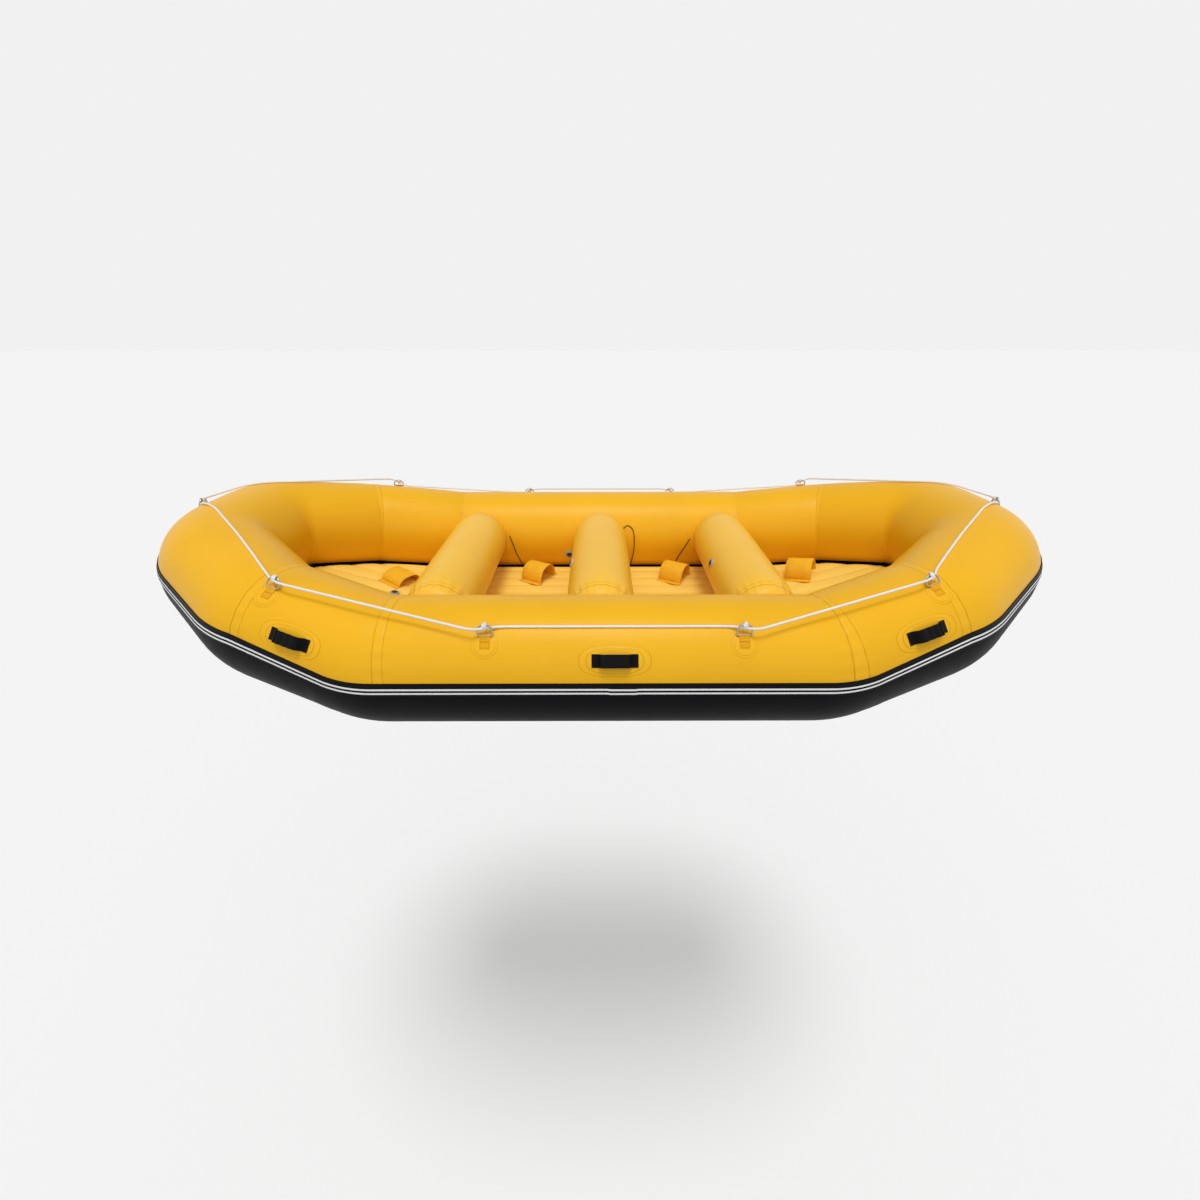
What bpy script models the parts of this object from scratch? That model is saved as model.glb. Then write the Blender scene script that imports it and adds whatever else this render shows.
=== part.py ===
"""Whitewater raft, 4.2 m: glued tube panels, thwarts, a laced-in floor, wear skins and their fittings.

Metres, +Z up. The origin is on the ground under the middle of the raft, +X runs to the bow and +Y to port.

The tube is a closed ring of straight legs that meet in mitres. A place along it is one number, the station:
its whole part is the mitre where a leg starts and its fraction is the share of that leg. An angle round the
tube is 0 on the outboard side, 90 on top and 180 on the inboard side.
"""

import math

import bmesh
import bpy
from mathutils import Matrix, Vector

# Tube ring
RAFT_LENGTH = 4.2
BEAM = 2.06
TUBE_RADIUS = 0.26
SIDE_LENGTH = 1.81  # between the shoulder corners
QUARTER_X = 1.43  # the corners between shoulder and quarter
QUARTER_INSET = 0.17  # from the side tubes' line in to those corners
QUARTER_RISE = 0.10
END_WIDTH = 0.50  # between the corners of an end
END_RISE = 0.2125
CORNER_SPARE = 0.0096  # left beside the lap, inboard, where each corner is cut into two
TUBE_SIDES = 24
FABRIC = 0.0015
LAP = 0.025  # half the width of a glued lap
GAP = 0.0003
BAFFLE = 0.003

# Wear skins, from under the strake to short of the floor's lacing
SKIN = 0.0015
SKIN_LOW_ANGLE = -117
SKIN_SEAM = 0.05  # from the end of the shoulder corner to the seam with the end skin
SKIN_EDGE_GAP = 0.0015

# Rub strake, whose lower edge climbs from the sides to the ends
STRAKE_SHOULDER_ANGLE = -1.0
STRAKE_QUARTER_ANGLE = 6.5
STRAKE_END_ANGLE = 6.5
STRAKE_SPAN = 12.5  # degrees round the tube
STRAKE_BASE = 0.004
STRAKE_RIB = 0.0055
RIB_EDGE_SHARES = (0.23, 0.25, 0.36, 0.38, 0.51, 0.53, 0.64, 0.66)

# Thwarts
THWART_RADIUS = 0.16
THWART_SPACING = 0.74
THWART_HEIGHT = 0.32  # of the axis above the ground
THWART_NECK_RADIUS = 0.146  # where the end is drawn in against the tube
THWART_SHOULDER = 0.085  # length of the drawn-in end
THWART_SIDES = 20

# Floor
FLOOR_TOP = 0.105
FLOOR_THICKNESS = 0.088
FLOOR_EDGE_GAP = 0.036  # from the tube to the side of the floor
FLUTE_WIDTH = 0.104
FLUTE_RISE = 0.012
FLUTE_POINTS = 3
FLANGE_ANGLE = -135
FLANGE_LEVEL_SHARE = 0.6  # of the facets' roll that the flange makes up for
FLANGE = 0.005
FLANGE_ROOT = 0.008  # how far the lacing flange runs into the floor
OVERRUN = 0.02  # how far a cutter runs past what it cuts

# Foot loops
LOOP_WIDTH = 0.145
LOOP_SPAN = 0.15
LOOP_FOOT = 0.028
LOOP_STRAP = 0.003
LOOP_TURN = -30
LOOP_ARC_POINTS = 8
LOOP_HEIGHT = 0.09
LOW_LOOP_HEIGHT = 0.05
STERN_LOOP_X = -1.17
MID_STERN_LOOP_X = -0.38
MID_BOW_LOOP_X = 0.46
BOW_LOOP_X = 1.20
STERN_LOOP_INSET = 0.31  # from the side tube's inboard face
MID_LOOP_INSET = 0.15
BOW_LOOP_INSET = 0.25

# Fittings glued to the tube
PATCH = 0.0015
RING_PATCH = 0.002
PATCH_ROOT = 0.03
PATCH_POINTS = 18
FITTING_SHIFT = 0.05  # the starboard fittings sit this far towards the bow
RING_FACET = 3  # side rings, counted up from the outboard facet
CORNER_RING_FACET = 4
END_RING_FACET = 2
RING_SPACING = 0.48  # side rings, from amidships
RING_FROM_QUARTER = 0.072  # corner rings, from the quarter corner's cut
CORNER_SHIFT = 0.012
RING_PATCH_RADIUS = 0.05
RING_PATCH_DROP = 0.01
HANDLE_FACET = 2
HANDLE_LENGTH = 0.172
HANDLE_WEBBING = 0.050
HANDLE_STRAP = 0.0025
HANDLE_END = 0.022
HANDLE_RAMP = 0.020
HANDLE_RISE = 0.026
HANDLE_FROM_SHOULDER = 0.21  # corner handles, from the shoulder corner's cut
HANDLE_SHIFT = 0.035
HANDLE_PATCH_LENGTH = 0.27
HANDLE_PATCH_WIDTH = 0.12

# D-rings and their webbing tabs
WIRE_RADIUS = 0.003
WIRE_SIDES = 6
RING_HALF_WIDTH = 0.028
RING_POST = 0.014
RING_BEND = 0.004
RING_ARC_POINTS = 7
RING_STAND = 30  # degrees that the rope holds the ring up from its facet
TAB_WEB = 0.002
TAB_WIDTH = 0.040
TAB_LENGTH = 0.050
TAB_ROOT = 0.003
BAR_RISE = 0.026  # from the middle of the facet towards the top of the tube
FOLD_SIDES = 10

# Safety rope
ROPE_RADIUS = 0.005
ROPE_THROUGH = 0.027  # from a ring's bar to the rope
ROPE_ASIDE = 0.022  # from a ring's plane to the rope beside it
ROPE_CLEAR = 0.042
ROPE_TAIL = 0.006  # from the knot's middle to an end of the rope
# Where the rope bends on the tubes between its rings, as station and angle up from outboard
ROPE_RESTS = (
    (
        (17.77, 52.5), (17.955, 67.5), (18, 72.5), (18.37, 82.5), (19, 92.5),
        (19.45, 90.4), (20, 86.2), (20.46, 82.5), (21, 78.3),
    ),
    (),
    (),
    (),
    (
        (26, 78.3), (26.54, 82.5), (27, 86.2), (27.55, 90.4), (28, 92.5),
        (28.63, 82.5), (29, 72.5), (29.045, 67.5), (29.23, 52.5),
    ),
    ((30, 67.5), (30.58, 82.5), (31, 89.5)),
    (),
    (),
    (),
    ((40, 89.5), (40.42, 82.5), (41, 67.5)),
)

# Valves
SEAT_RADIUS = 0.028
SEAT_RISE = 0.005
SEAT_ROOT = 0.025
WELL_RADIUS = 0.021
WELL_DEPTH = 0.012
CAP_RISE = 0.004
GRIP_WIDTH = 0.007
GRIP_RISE = 0.005
GRIP_SHARE = 0.85  # of the cap's flat top
VALVE_SIDES = 16
TUBE_VALVE_FACET = 13
TUBE_VALVE_X = -0.195
THWART_VALVE_Y = -0.04
THWART_VALVE_FACET = 1  # counted up from the facet that faces aft
FLOOR_VALVE_X = -1.15
FLOOR_VALVE_Y = 0.03

# Tie cords from the thwarts' port ends down to the floor's lacing, as X and angle round the port tube
TIE_RADIUS = 0.0025
TIE_REST = 0.0036  # from the tube to the cord's axis
TIE_STEP = 0.0125
STERN_TIE = ((-0.583, 167), (-0.565, 177), (-0.545, 192), (-0.522, 207), (-0.512, 217))
MID_TIE = ((0.152, 157), (0.178, 153), (0.210, 158), (0.222, 172), (0.220, 188), (0.210, 204), (0.202, 216))
BOW_TIE = ((0.582, 171), (0.560, 179), (0.530, 191), (0.505, 204), (0.490, 216))

STEP = 360 / TUBE_SIDES
HALF_STEP = STEP / 2
FACET_SHARE = math.cos(math.radians(HALF_STEP))
CENTRE_HEIGHT = SKIN + GAP + TUBE_RADIUS * FACET_SHARE
UP = Vector((0, 0, 1))

# Scene helpers


def clear_scene():
    for obj in list(bpy.data.objects):
        bpy.data.objects.remove(obj, do_unlink=True)


def material(name, colour, roughness, metallic=0.0):
    made = bpy.data.materials.new(name)
    made.use_nodes = True
    shader = made.node_tree.nodes["Principled BSDF"]
    shader.inputs["Base Color"].default_value = (*colour, 1)
    shader.inputs["Roughness"].default_value = roughness
    shader.inputs["Metallic"].default_value = metallic
    made.diffuse_color = (*colour, 1)
    return made


def add_object(name, data, surface, matrix=None):
    obj = bpy.data.objects.new(name, data)
    bpy.context.scene.collection.objects.link(obj)
    if surface and not data.materials:
        data.materials.append(surface)
    if matrix:
        obj.matrix_world = matrix
    return obj


def finished_mesh(name, bm):
    """A smooth-shaded mesh from a bmesh, with its faces pointing out."""
    bmesh.ops.recalc_face_normals(bm, faces=bm.faces)
    mesh = bpy.data.meshes.new(name)
    bm.to_mesh(mesh)
    bm.free()
    mesh.shade_smooth()
    mesh.set_sharp_from_angle(angle=math.radians(30))
    return mesh


def add_mesh(name, bm, surface, matrix=None):
    return add_object(name, finished_mesh(name, bm), surface, matrix)


def helper(name, bm, matrix=None):
    """A solid that only cuts or extends others."""
    obj = add_mesh(name, bm, None, matrix)
    obj.hide_render = True
    obj.display_type = "WIRE"
    return obj


def combine(obj, other, operation):
    modifier = obj.modifiers.new(f"{operation.lower()} {other.name}", "BOOLEAN")
    modifier.operation = operation
    modifier.object = other
    modifier.solver = "EXACT"


def loft(rings, ends=True):
    """A skin through rings of equally many points, closed at its ends or back to its start."""
    bm = bmesh.new()
    rows = [[bm.verts.new(point) for point in ring] for ring in rings]
    pairs = list(zip(rows, rows[1:]))
    if not ends:
        pairs.append((rows[-1], rows[0]))
    for first, second in pairs:
        for k in range(len(first)):
            after = (k + 1) % len(first)
            bm.faces.new((first[k], first[after], second[after], second[k]))
    if ends:
        bm.faces.new(rows[0])
        bm.faces.new(rows[-1])
    return bm


def prism(outline, low, high):
    """An outline in the plane of X and Y, extruded along Z."""
    return loft([[Vector((x, y, z)) for x, y in outline] for z in (low, high)])


def ellipse(half_length, half_width, count):
    turns = [math.tau * k / count for k in range(count)]
    return [(half_length * math.cos(t), half_width * math.sin(t)) for t in turns]


def frame(origin, along, outward):
    """Axes with Z straight out of a surface, X along it and Y across."""
    z = outward.normalized()
    x = (along - z * along.dot(z)).normalized()
    made = Matrix((x, z.cross(x), z)).transposed().to_4x4()
    made.translation = origin
    return made


# The tube ring


def side_line():
    """How far out the side tubes' centreline lies."""
    return BEAM / 2 - TUBE_RADIUS


def ring_corners():
    """The centreline's twelve corners, from the starboard bow to port and round the stern."""
    half_beam = side_line()
    end_x = RAFT_LENGTH / 2 - TUBE_RADIUS
    quarter = [
        (SIDE_LENGTH / 2, half_beam, 0),
        (QUARTER_X, half_beam - QUARTER_INSET, QUARTER_RISE),
        (end_x, END_WIDTH / 2, END_RISE),
    ]
    around = [(x, -y, z) for x, y, z in quarter]
    around += [(x, y, z) for x, y, z in reversed(quarter)]
    around += [(-x, y, z) for x, y, z in quarter]
    around += [(-x, -y, z) for x, y, z in reversed(quarter)]
    return [Vector((x, y, z + CENTRE_HEIGHT)) for x, y, z in around]


def cut_corners():
    """The centreline's points after each corner is cut into two, far enough apart for a lap between them."""
    corners = ring_corners()
    points = []
    for k, corner in enumerate(corners):
        before = (corners[k - 1] - corner).normalized()
        after = (corners[(k + 1) % len(corners)] - corner).normalized()
        turn = math.pi - before.angle(after)
        half = TUBE_RADIUS * math.tan(turn / 4) + LAP + CORNER_SPARE
        cut = half / math.cos(turn / 2)
        points += [corner + before * cut, corner + after * cut]
    return points


CENTRES = cut_corners()
STATIONS = len(CENTRES)


def leg_axes():
    """Each leg's direction, outboard and upward axes, carried round the ring so that no facet twists."""
    directions = [(CENTRES[(k + 1) % STATIONS] - CENTRES[k]).normalized() for k in range(STATIONS)]
    outboard = directions[-1].cross(UP).normalized()
    axes = []
    for k, direction in enumerate(directions):
        outboard = directions[k - 1].rotation_difference(direction) @ outboard
        axes.append((direction, outboard, outboard.cross(direction)))
    return axes


LEGS = leg_axes()


def leg_length(station):
    leg = math.floor(station) % STATIONS
    return (CENTRES[(leg + 1) % STATIONS] - CENTRES[leg]).length


def beyond(station, distance):
    """The station that lies a distance further along the same leg."""
    return station + distance / leg_length(station)


def ray(leg, angle):
    """The direction out of a leg's axis at an angle round it."""
    _, outboard, upward = LEGS[leg % STATIONS]
    turn = math.radians(angle)
    return outboard * math.cos(turn) + upward * math.sin(turn)


def mitre_point(station, angle, radius):
    leg = station % STATIONS
    direction = LEGS[leg][0]
    bisector = LEGS[leg - 1][0] + direction
    out = ray(leg, angle)
    return CENTRES[leg] + (out - direction * (out.dot(bisector) / direction.dot(bisector))) * radius


def corner_point(station, angle, radius):
    start = math.floor(station)
    first = mitre_point(start, angle, radius)
    return first.lerp(mitre_point(start + 1, angle, radius), station - start)


def surface_point(station, angle, lift):
    """A point on the faceted tube at any angle, lifted straight off its facets."""
    radius = TUBE_RADIUS + lift / FACET_SHARE
    low = HALF_STEP + math.floor((angle - HALF_STEP) / STEP) * STEP
    first = corner_point(station, low, radius)
    return first.lerp(corner_point(station, low + STEP, radius), (angle - low) / STEP)


def tube_ring(station, radius):
    return [corner_point(station, HALF_STEP + k * STEP, radius) for k in range(TUBE_SIDES)]


def roll_at(station):
    """How far the facets are turned up about the tube at a station, in degrees."""
    start = math.floor(station)

    def at_mitre(k):
        return math.degrees(sum(math.asin(LEGS[(k - j) % STATIONS][1].z) for j in (0, 1)) / 2)

    return at_mitre(start) + (at_mitre(start + 1) - at_mitre(start)) * (station - start)


def facet_frame(station, facet, across=0.0, lift=0.0):
    """Axes on a facet: X along the leg, Y towards the next facet up, Z straight out."""
    leg = math.floor(station) % STATIONS
    out = ray(leg, facet * STEP)
    rise = ray(leg, facet * STEP + 90)
    centre = CENTRES[leg].lerp(CENTRES[(leg + 1) % STATIONS], station % 1)
    return frame(centre + out * (TUBE_RADIUS * FACET_SHARE + lift) + rise * across, LEGS[leg][0], out)


# Tube panels

INNER_RADIUS = TUBE_RADIUS - FABRIC / FACET_SHARE
PLUG_RADIUS = INNER_RADIUS - GAP / FACET_SHARE


def end_rings(seam, forward, socket, middle_gap):
    """The rings of a panel's end, from its outer surface to its closing face."""

    def at(distance):
        return beyond(seam, -forward * distance)

    if socket:
        rings = ((-LAP, TUBE_RADIUS), (-LAP, INNER_RADIUS), (middle_gap, INNER_RADIUS))
    else:
        rings = ((LAP + GAP, TUBE_RADIUS), (LAP + GAP, PLUG_RADIUS), (middle_gap, PLUG_RADIUS))
    return [tube_ring(at(distance), radius) for distance, radius in rings]


def tube_panel(name, start, finish, start_socket, finish_socket, surface):
    """One panel of the tube between two seams, each end a sleeve or the plug that it takes."""
    gaps = [BAFFLE / 2 + GAP if seam % 12 in BAFFLE_SEAMS else GAP / 2 for seam in (start, finish)]
    rings = end_rings(start, -1, start_socket, gaps[0])[::-1]
    rings += [tube_ring(k, TUBE_RADIUS) for k in range(math.floor(start) + 1, math.floor(finish) + 1)]
    rings += end_rings(finish, 1, finish_socket, gaps[1])
    return add_mesh(name, loft(rings), surface)


# The seams lie in the middle of the cut corners: the shoulders' hold the baffles of the four air chambers.
BAFFLE_SEAMS = (0.5, 10.5)
PANELS = (
    ("side_tube_starboard", -1.5, 0.5, False),
    ("shoulder_tube_starboard_bow", 0.5, 2.5, True),
    ("bow_tube", 2.5, 8.5, False),
    ("shoulder_tube_port_bow", 8.5, 10.5, True),
    ("side_tube_port", 10.5, 12.5, False),
    ("shoulder_tube_port_stern", 12.5, 14.5, True),
    ("stern_tube", 14.5, 20.5, False),
    ("shoulder_tube_starboard_stern", 20.5, 22.5, True),
)
BAFFLES = (
    ("baffle_starboard_bow", 0.5),
    ("baffle_port_bow", 10.5),
    ("baffle_port_stern", 12.5),
    ("baffle_starboard_stern", 22.5),
)


def baffle(name, seam, surface):
    """The fabric wall between two air chambers, inside the sleeve of its seam."""
    rings = [tube_ring(beyond(seam, side * BAFFLE / 2), PLUG_RADIUS) for side in (-1, 1)]
    return add_mesh(name, loft(rings), surface)


# Wear skins and strake


def strake_angle(station):
    """The strake's lower edge, which climbs over the shoulder legs, as an angle from the facets' zero."""
    corner_angles = (STRAKE_SHOULDER_ANGLE, STRAKE_QUARTER_ANGLE, STRAKE_END_ANGLE)
    start = math.floor(station)

    def at_mitre(k):
        place = (k % STATIONS) // 2 % 6
        return corner_angles[min(place, 5 - place)] - roll_at(k)

    return at_mitre(start) + (at_mitre(start + 1) - at_mitre(start)) * (station - start)


def skin_section(station):
    angles = [strake_angle(station) - math.degrees(SKIN_EDGE_GAP / TUBE_RADIUS)]
    steps = math.floor((-HALF_STEP - SKIN_LOW_ANGLE) / STEP)
    angles += [-HALF_STEP - k * STEP for k in range(steps + 1)]
    inner = [surface_point(station, angle, GAP) for angle in angles]
    outer = [surface_point(station, angle, GAP + SKIN) for angle in angles]
    return inner + outer[::-1]


def wear_skin(name, start, finish, surface):
    """The abrasion layer on the underside of the tube between two stations."""
    ends = [beyond(start, GAP), beyond(finish, -GAP)]
    places = ends[:1] + list(range(math.floor(start) + 1, math.ceil(finish))) + ends[1:]
    return add_mesh(name, loft([skin_section(place) for place in places]), surface)


def skins():
    """Name and stations of each skin: along the sides past the shoulders, and round the ends."""
    first = beyond(1, SKIN_SEAM)
    last = beyond(9, leg_length(9) - SKIN_SEAM)
    return (
        ("wear_skin_bow", first, last),
        ("wear_skin_port", last, first + 12),
        ("wear_skin_stern", first + 12, last + 12),
        ("wear_skin_starboard", last - 12, first),
    )


def strake_section(station):
    low = strake_angle(station)
    section = [surface_point(station, angle, GAP) for angle in (low, HALF_STEP, low + STRAKE_SPAN)]
    heights = [STRAKE_BASE] + [STRAKE_BASE, STRAKE_RIB, STRAKE_RIB, STRAKE_BASE] * 2 + [STRAKE_BASE]
    shares = (0, *RIB_EDGE_SHARES, 1)
    outer = [
        surface_point(station, low + STRAKE_SPAN * share, GAP + height)
        for share, height in zip(shares, heights)
    ]
    return section + outer[::-1]


def rub_strake(surface):
    return add_mesh("rub_strake", loft([strake_section(k) for k in range(STATIONS)], ends=False), surface)


# Thwarts


def side_cutter(name, first):
    """The side tube with its clearance, to shape what seats against it."""
    radius = TUBE_RADIUS + GAP / FACET_SHARE
    return helper(name, loft([tube_ring(station, radius) for station in range(first, first + 6)]))


def thwart(name, x, cutters, surface):
    """A crossways tube with drawn-in ends, shaped to the side tubes."""
    half_beam = side_line()
    contact = half_beam - math.sqrt(TUBE_RADIUS**2 - (CENTRE_HEIGHT - THWART_HEIGHT) ** 2)
    middle_radius = (THWART_RADIUS * 2 + THWART_NECK_RADIUS) / 3
    half = [
        (contact - THWART_SHOULDER, THWART_RADIUS),
        (contact - THWART_SHOULDER * 2 / 3, middle_radius),
        (contact, THWART_NECK_RADIUS),
        (half_beam, THWART_NECK_RADIUS),
    ]
    rings = []
    for y, radius in [(-y, radius) for y, radius in reversed(half)] + half:
        turns = [math.tau * (k + 0.5) / THWART_SIDES for k in range(THWART_SIDES)]
        rings.append([Vector((radius * math.cos(t), y, radius * math.sin(t))) for t in turns])
    obj = add_mesh(name, loft(rings), surface, Matrix.Translation((x, 0, THWART_HEIGHT)))
    for cutter in cutters:
        combine(obj, cutter, "DIFFERENCE")
    return obj


def thwart_valve_frame(x):
    """Axes on a facet of a thwart's aft side."""
    turn = math.pi - math.tau * THWART_VALVE_FACET / THWART_SIDES
    outward = Vector((math.cos(turn), 0, math.sin(turn)))
    flat = THWART_RADIUS * math.cos(math.pi / THWART_SIDES)
    origin = Vector((x, THWART_VALVE_Y, THWART_HEIGHT)) + outward * flat
    return frame(origin, Vector((0, 1, 0)), outward)


# Floor


def flange_angle(station):
    return FLANGE_ANGLE - FLANGE_LEVEL_SHARE * roll_at(station)


def inboard(station):
    """The level step at a mitre that moves both of its legs inboard by one."""
    before, after = [LEGS[(station - k) % STATIONS][0].cross(UP).normalized() for k in (1, 0)]
    return -(before + after) / (1 + before.dot(after))


def floor_edge(station, distance):
    """A point level with the lacing flange, a distance inboard of the tube."""
    return surface_point(station, flange_angle(station), GAP) + inboard(station) * distance


def floor_bends():
    """X and rise of the bends in the floor, which follows the tube towards the bow."""
    edges = [floor_edge(k, FLOOR_EDGE_GAP) for k in range(6)]
    return [(edge.x, edge.z - edges[0].z) for edge in edges]


def floor_lift(x):
    """How far the floor has risen at X, alike towards both ends."""
    bends = floor_bends()
    rise = 0.0
    for (first_x, first_z), (second_x, second_z) in zip(bends, bends[1:]):
        if abs(x) > first_x:
            share = min(1, (abs(x) - first_x) / (second_x - first_x))
            rise = first_z + (second_z - first_z) * share
    return rise


def fluted_section(half_width):
    """Y and Z of the floor's section: arched beams side by side, on top and below."""
    count = 2 * math.ceil(half_width / FLUTE_WIDTH - 0.5) + 1
    half = count * FLUTE_WIDTH / 2
    arches = [FLUTE_RISE * math.sin(math.pi * k / FLUTE_POINTS) for k in range(FLUTE_POINTS)]
    upper = []
    for k in range(count * FLUTE_POINTS + 1):
        dip = max(arches) - arches[k % FLUTE_POINTS]
        upper.append((-half + k * FLUTE_WIDTH / FLUTE_POINTS, dip))
    top = [(y, FLOOR_TOP - dip) for y, dip in upper]
    bottom = [(y, FLOOR_TOP - FLOOR_THICKNESS + dip) for y, dip in reversed(upper)]
    return top + bottom


def inflated_floor(surface):
    """The I-beam floor: lengthways beams, cut to the plan, with the lacing flange round it."""
    outline = [floor_edge(k, FLOOR_EDGE_GAP) for k in range(STATIONS)]
    section = fluted_section(max(point.y for point in outline) + OVERRUN)
    bends = [x for x, _ in floor_bends()]
    bends[-1] += OVERRUN
    places = [-x for x in reversed(bends)] + bends
    rings = [[Vector((x, y, z + floor_lift(x))) for y, z in section] for x in places]
    floor = add_mesh("inflatable_floor", loft(rings), surface)
    plan = prism([(point.x, point.y) for point in outline], -END_RISE, RAFT_LENGTH / 2)
    combine(floor, helper("floor_plan", plan), "INTERSECT")
    half = math.degrees(FLANGE / 2 / TUBE_RADIUS)
    rings = []
    for station in range(STATIONS):
        low, high = [surface_point(station, flange_angle(station) + side * half, GAP) for side in (1, -1)]
        reach = inboard(station) * (FLOOR_EDGE_GAP + FLANGE_ROOT)
        rings.append([low, high, high + reach, low + reach])
    combine(floor, helper("floor_flange", loft(rings, ends=False)), "UNION")
    return floor


def floor_frame(x, y, turn=0.0, lift=0.0):
    """Axes on the floor's crests, tilted as the floor is there."""
    reach = LOOP_SPAN / 2
    behind, ahead = [Vector((there, y, FLOOR_TOP + floor_lift(there))) for there in (x - reach, x + reach)]
    made = frame((behind + ahead) / 2, ahead - behind, (ahead - behind).cross(Vector((0, 1, 0))))
    return made @ Matrix.Translation((0, 0, lift)) @ Matrix.Rotation(math.radians(turn), 4, "Z")


def foot_loop_mesh(name, height):
    """A strap arched across Y with a glued foot on each side, open along X."""
    half_span = LOOP_SPAN / 2
    path = [(-half_span - LOOP_FOOT, 0, 0, 1), (-half_span, 0, 0, 1)]
    for k in range(1, LOOP_ARC_POINTS):
        turn = math.pi * k / LOOP_ARC_POINTS
        path.append((-half_span * math.cos(turn), height * math.sin(turn), -math.cos(turn), math.sin(turn)))
    path += [(half_span, 0, 0, 1), (half_span + LOOP_FOOT, 0, 0, 1)]
    half = LOOP_WIDTH / 2
    rings = []
    for y, z, out_y, out_z in path:
        under = (y, z)
        top = (y + out_y * LOOP_STRAP, z + out_z * LOOP_STRAP)
        corners = ((-half, under), (half, under), (half, top), (-half, top))
        rings.append([Vector((x, *place)) for x, place in corners])
    return finished_mesh(name, loft(rings))


def foot_loops(surface):
    """Two rows of foot loops, turned towards the paddlers on each side."""
    tall = foot_loop_mesh("foot_loop", LOOP_HEIGHT)
    low = foot_loop_mesh("low_foot_loop", LOW_LOOP_HEIGHT)
    places = (
        ("stern", STERN_LOOP_X, STERN_LOOP_INSET, low),
        ("mid_stern", MID_STERN_LOOP_X, MID_LOOP_INSET, tall),
        ("mid_bow", MID_BOW_LOOP_X, MID_LOOP_INSET, tall),
        ("bow", BOW_LOOP_X, BOW_LOOP_INSET, tall),
    )
    inboard_face = side_line() - TUBE_RADIUS
    for side, sign in (("port", 1), ("starboard", -1)):
        for place, x, inset, mesh in places:
            matrix = floor_frame(x, sign * (inboard_face - inset), sign * LOOP_TURN, GAP)
            add_object(f"foot_loop_{side}_{place}", mesh, surface, matrix)


# Handles and D-rings


def side_station(x, side):
    """The station on a side tube that lies at X."""
    start = 11 if side > 0 else 23
    first = CENTRES[start].x
    second = CENTRES[(start + 1) % STATIONS].x
    return start + (x - first) / (second - first)


def ring_places():
    """Name, panel, station and facet of each ring, from the stern round by starboard."""
    far = leg_length(1) - RING_FROM_QUARTER
    mid, corner, end = RING_FACET, CORNER_RING_FACET, END_RING_FACET
    near = RING_FROM_QUARTER + CORNER_SHIFT
    return (
        ("stern", "stern_tube", 17.5, end),
        ("starboard_stern", "shoulder_tube_starboard_stern", beyond(21, near), corner),
        ("starboard_mid_stern", "side_tube_starboard", side_station(FITTING_SHIFT - RING_SPACING, -1), mid),
        ("starboard_mid_bow", "side_tube_starboard", side_station(FITTING_SHIFT + RING_SPACING, -1), mid),
        ("starboard_bow", "shoulder_tube_starboard_bow", beyond(1, far + CORNER_SHIFT), corner),
        ("bow", "bow_tube", 5.5, end),
        ("port_bow", "shoulder_tube_port_bow", beyond(9, RING_FROM_QUARTER), corner),
        ("port_mid_bow", "side_tube_port", side_station(RING_SPACING, 1), mid),
        ("port_mid_stern", "side_tube_port", side_station(-RING_SPACING, 1), mid),
        ("port_stern", "shoulder_tube_port_stern", beyond(13, far), corner),
    )


def handle_places():
    """Name, panel and station of each handle."""
    near = HANDLE_FROM_SHOULDER
    far = leg_length(1) - near
    return (
        ("starboard_mid", "side_tube_starboard", side_station(FITTING_SHIFT, -1)),
        ("starboard_bow", "shoulder_tube_starboard_bow", beyond(1, near + HANDLE_SHIFT)),
        ("port_bow", "shoulder_tube_port_bow", beyond(9, far)),
        ("port_mid", "side_tube_port", side_station(0, 1)),
        ("port_stern", "shoulder_tube_port_stern", beyond(13, near)),
        ("starboard_stern", "shoulder_tube_starboard_stern", beyond(21, far + HANDLE_SHIFT)),
    )


def add_patch(panel, name, station, facet, drop, thickness, half_length, half_width):
    """A thin oval patch over the facets, made one with its panel."""
    radius = TUBE_RADIUS + thickness / FACET_SHARE
    reach = half_length + FABRIC
    cover = helper(name, loft([tube_ring(beyond(station, side * reach), radius) for side in (-1, 1)]))
    punch = prism(ellipse(half_length, half_width, PATCH_POINTS), -PATCH_ROOT, PATCH_ROOT)
    combine(cover, helper(name + "_punch", punch, facet_frame(station, facet, -drop)), "INTERSECT")
    combine(panel, cover, "UNION")


def add_ring_patch(panel, name, station, facet):
    where = (station, facet, RING_PATCH_DROP)
    add_patch(panel, f"ring_patch_{name}", *where, RING_PATCH, RING_PATCH_RADIUS, RING_PATCH_RADIUS)


def add_handle_patch(panel, name, station):
    where = (station, HANDLE_FACET, 0)
    add_patch(panel, f"handle_patch_{name}", *where, PATCH, HANDLE_PATCH_LENGTH / 2, HANDLE_PATCH_WIDTH / 2)


BAR_LIFT = RING_PATCH + TAB_WEB + GAP + WIRE_RADIUS


def bar_frame(station, facet):
    """Axes on a ring's bar: X along it, Y away from its tab, Z straight out of the facet."""
    return facet_frame(station, facet, BAR_RISE, BAR_LIFT)


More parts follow.
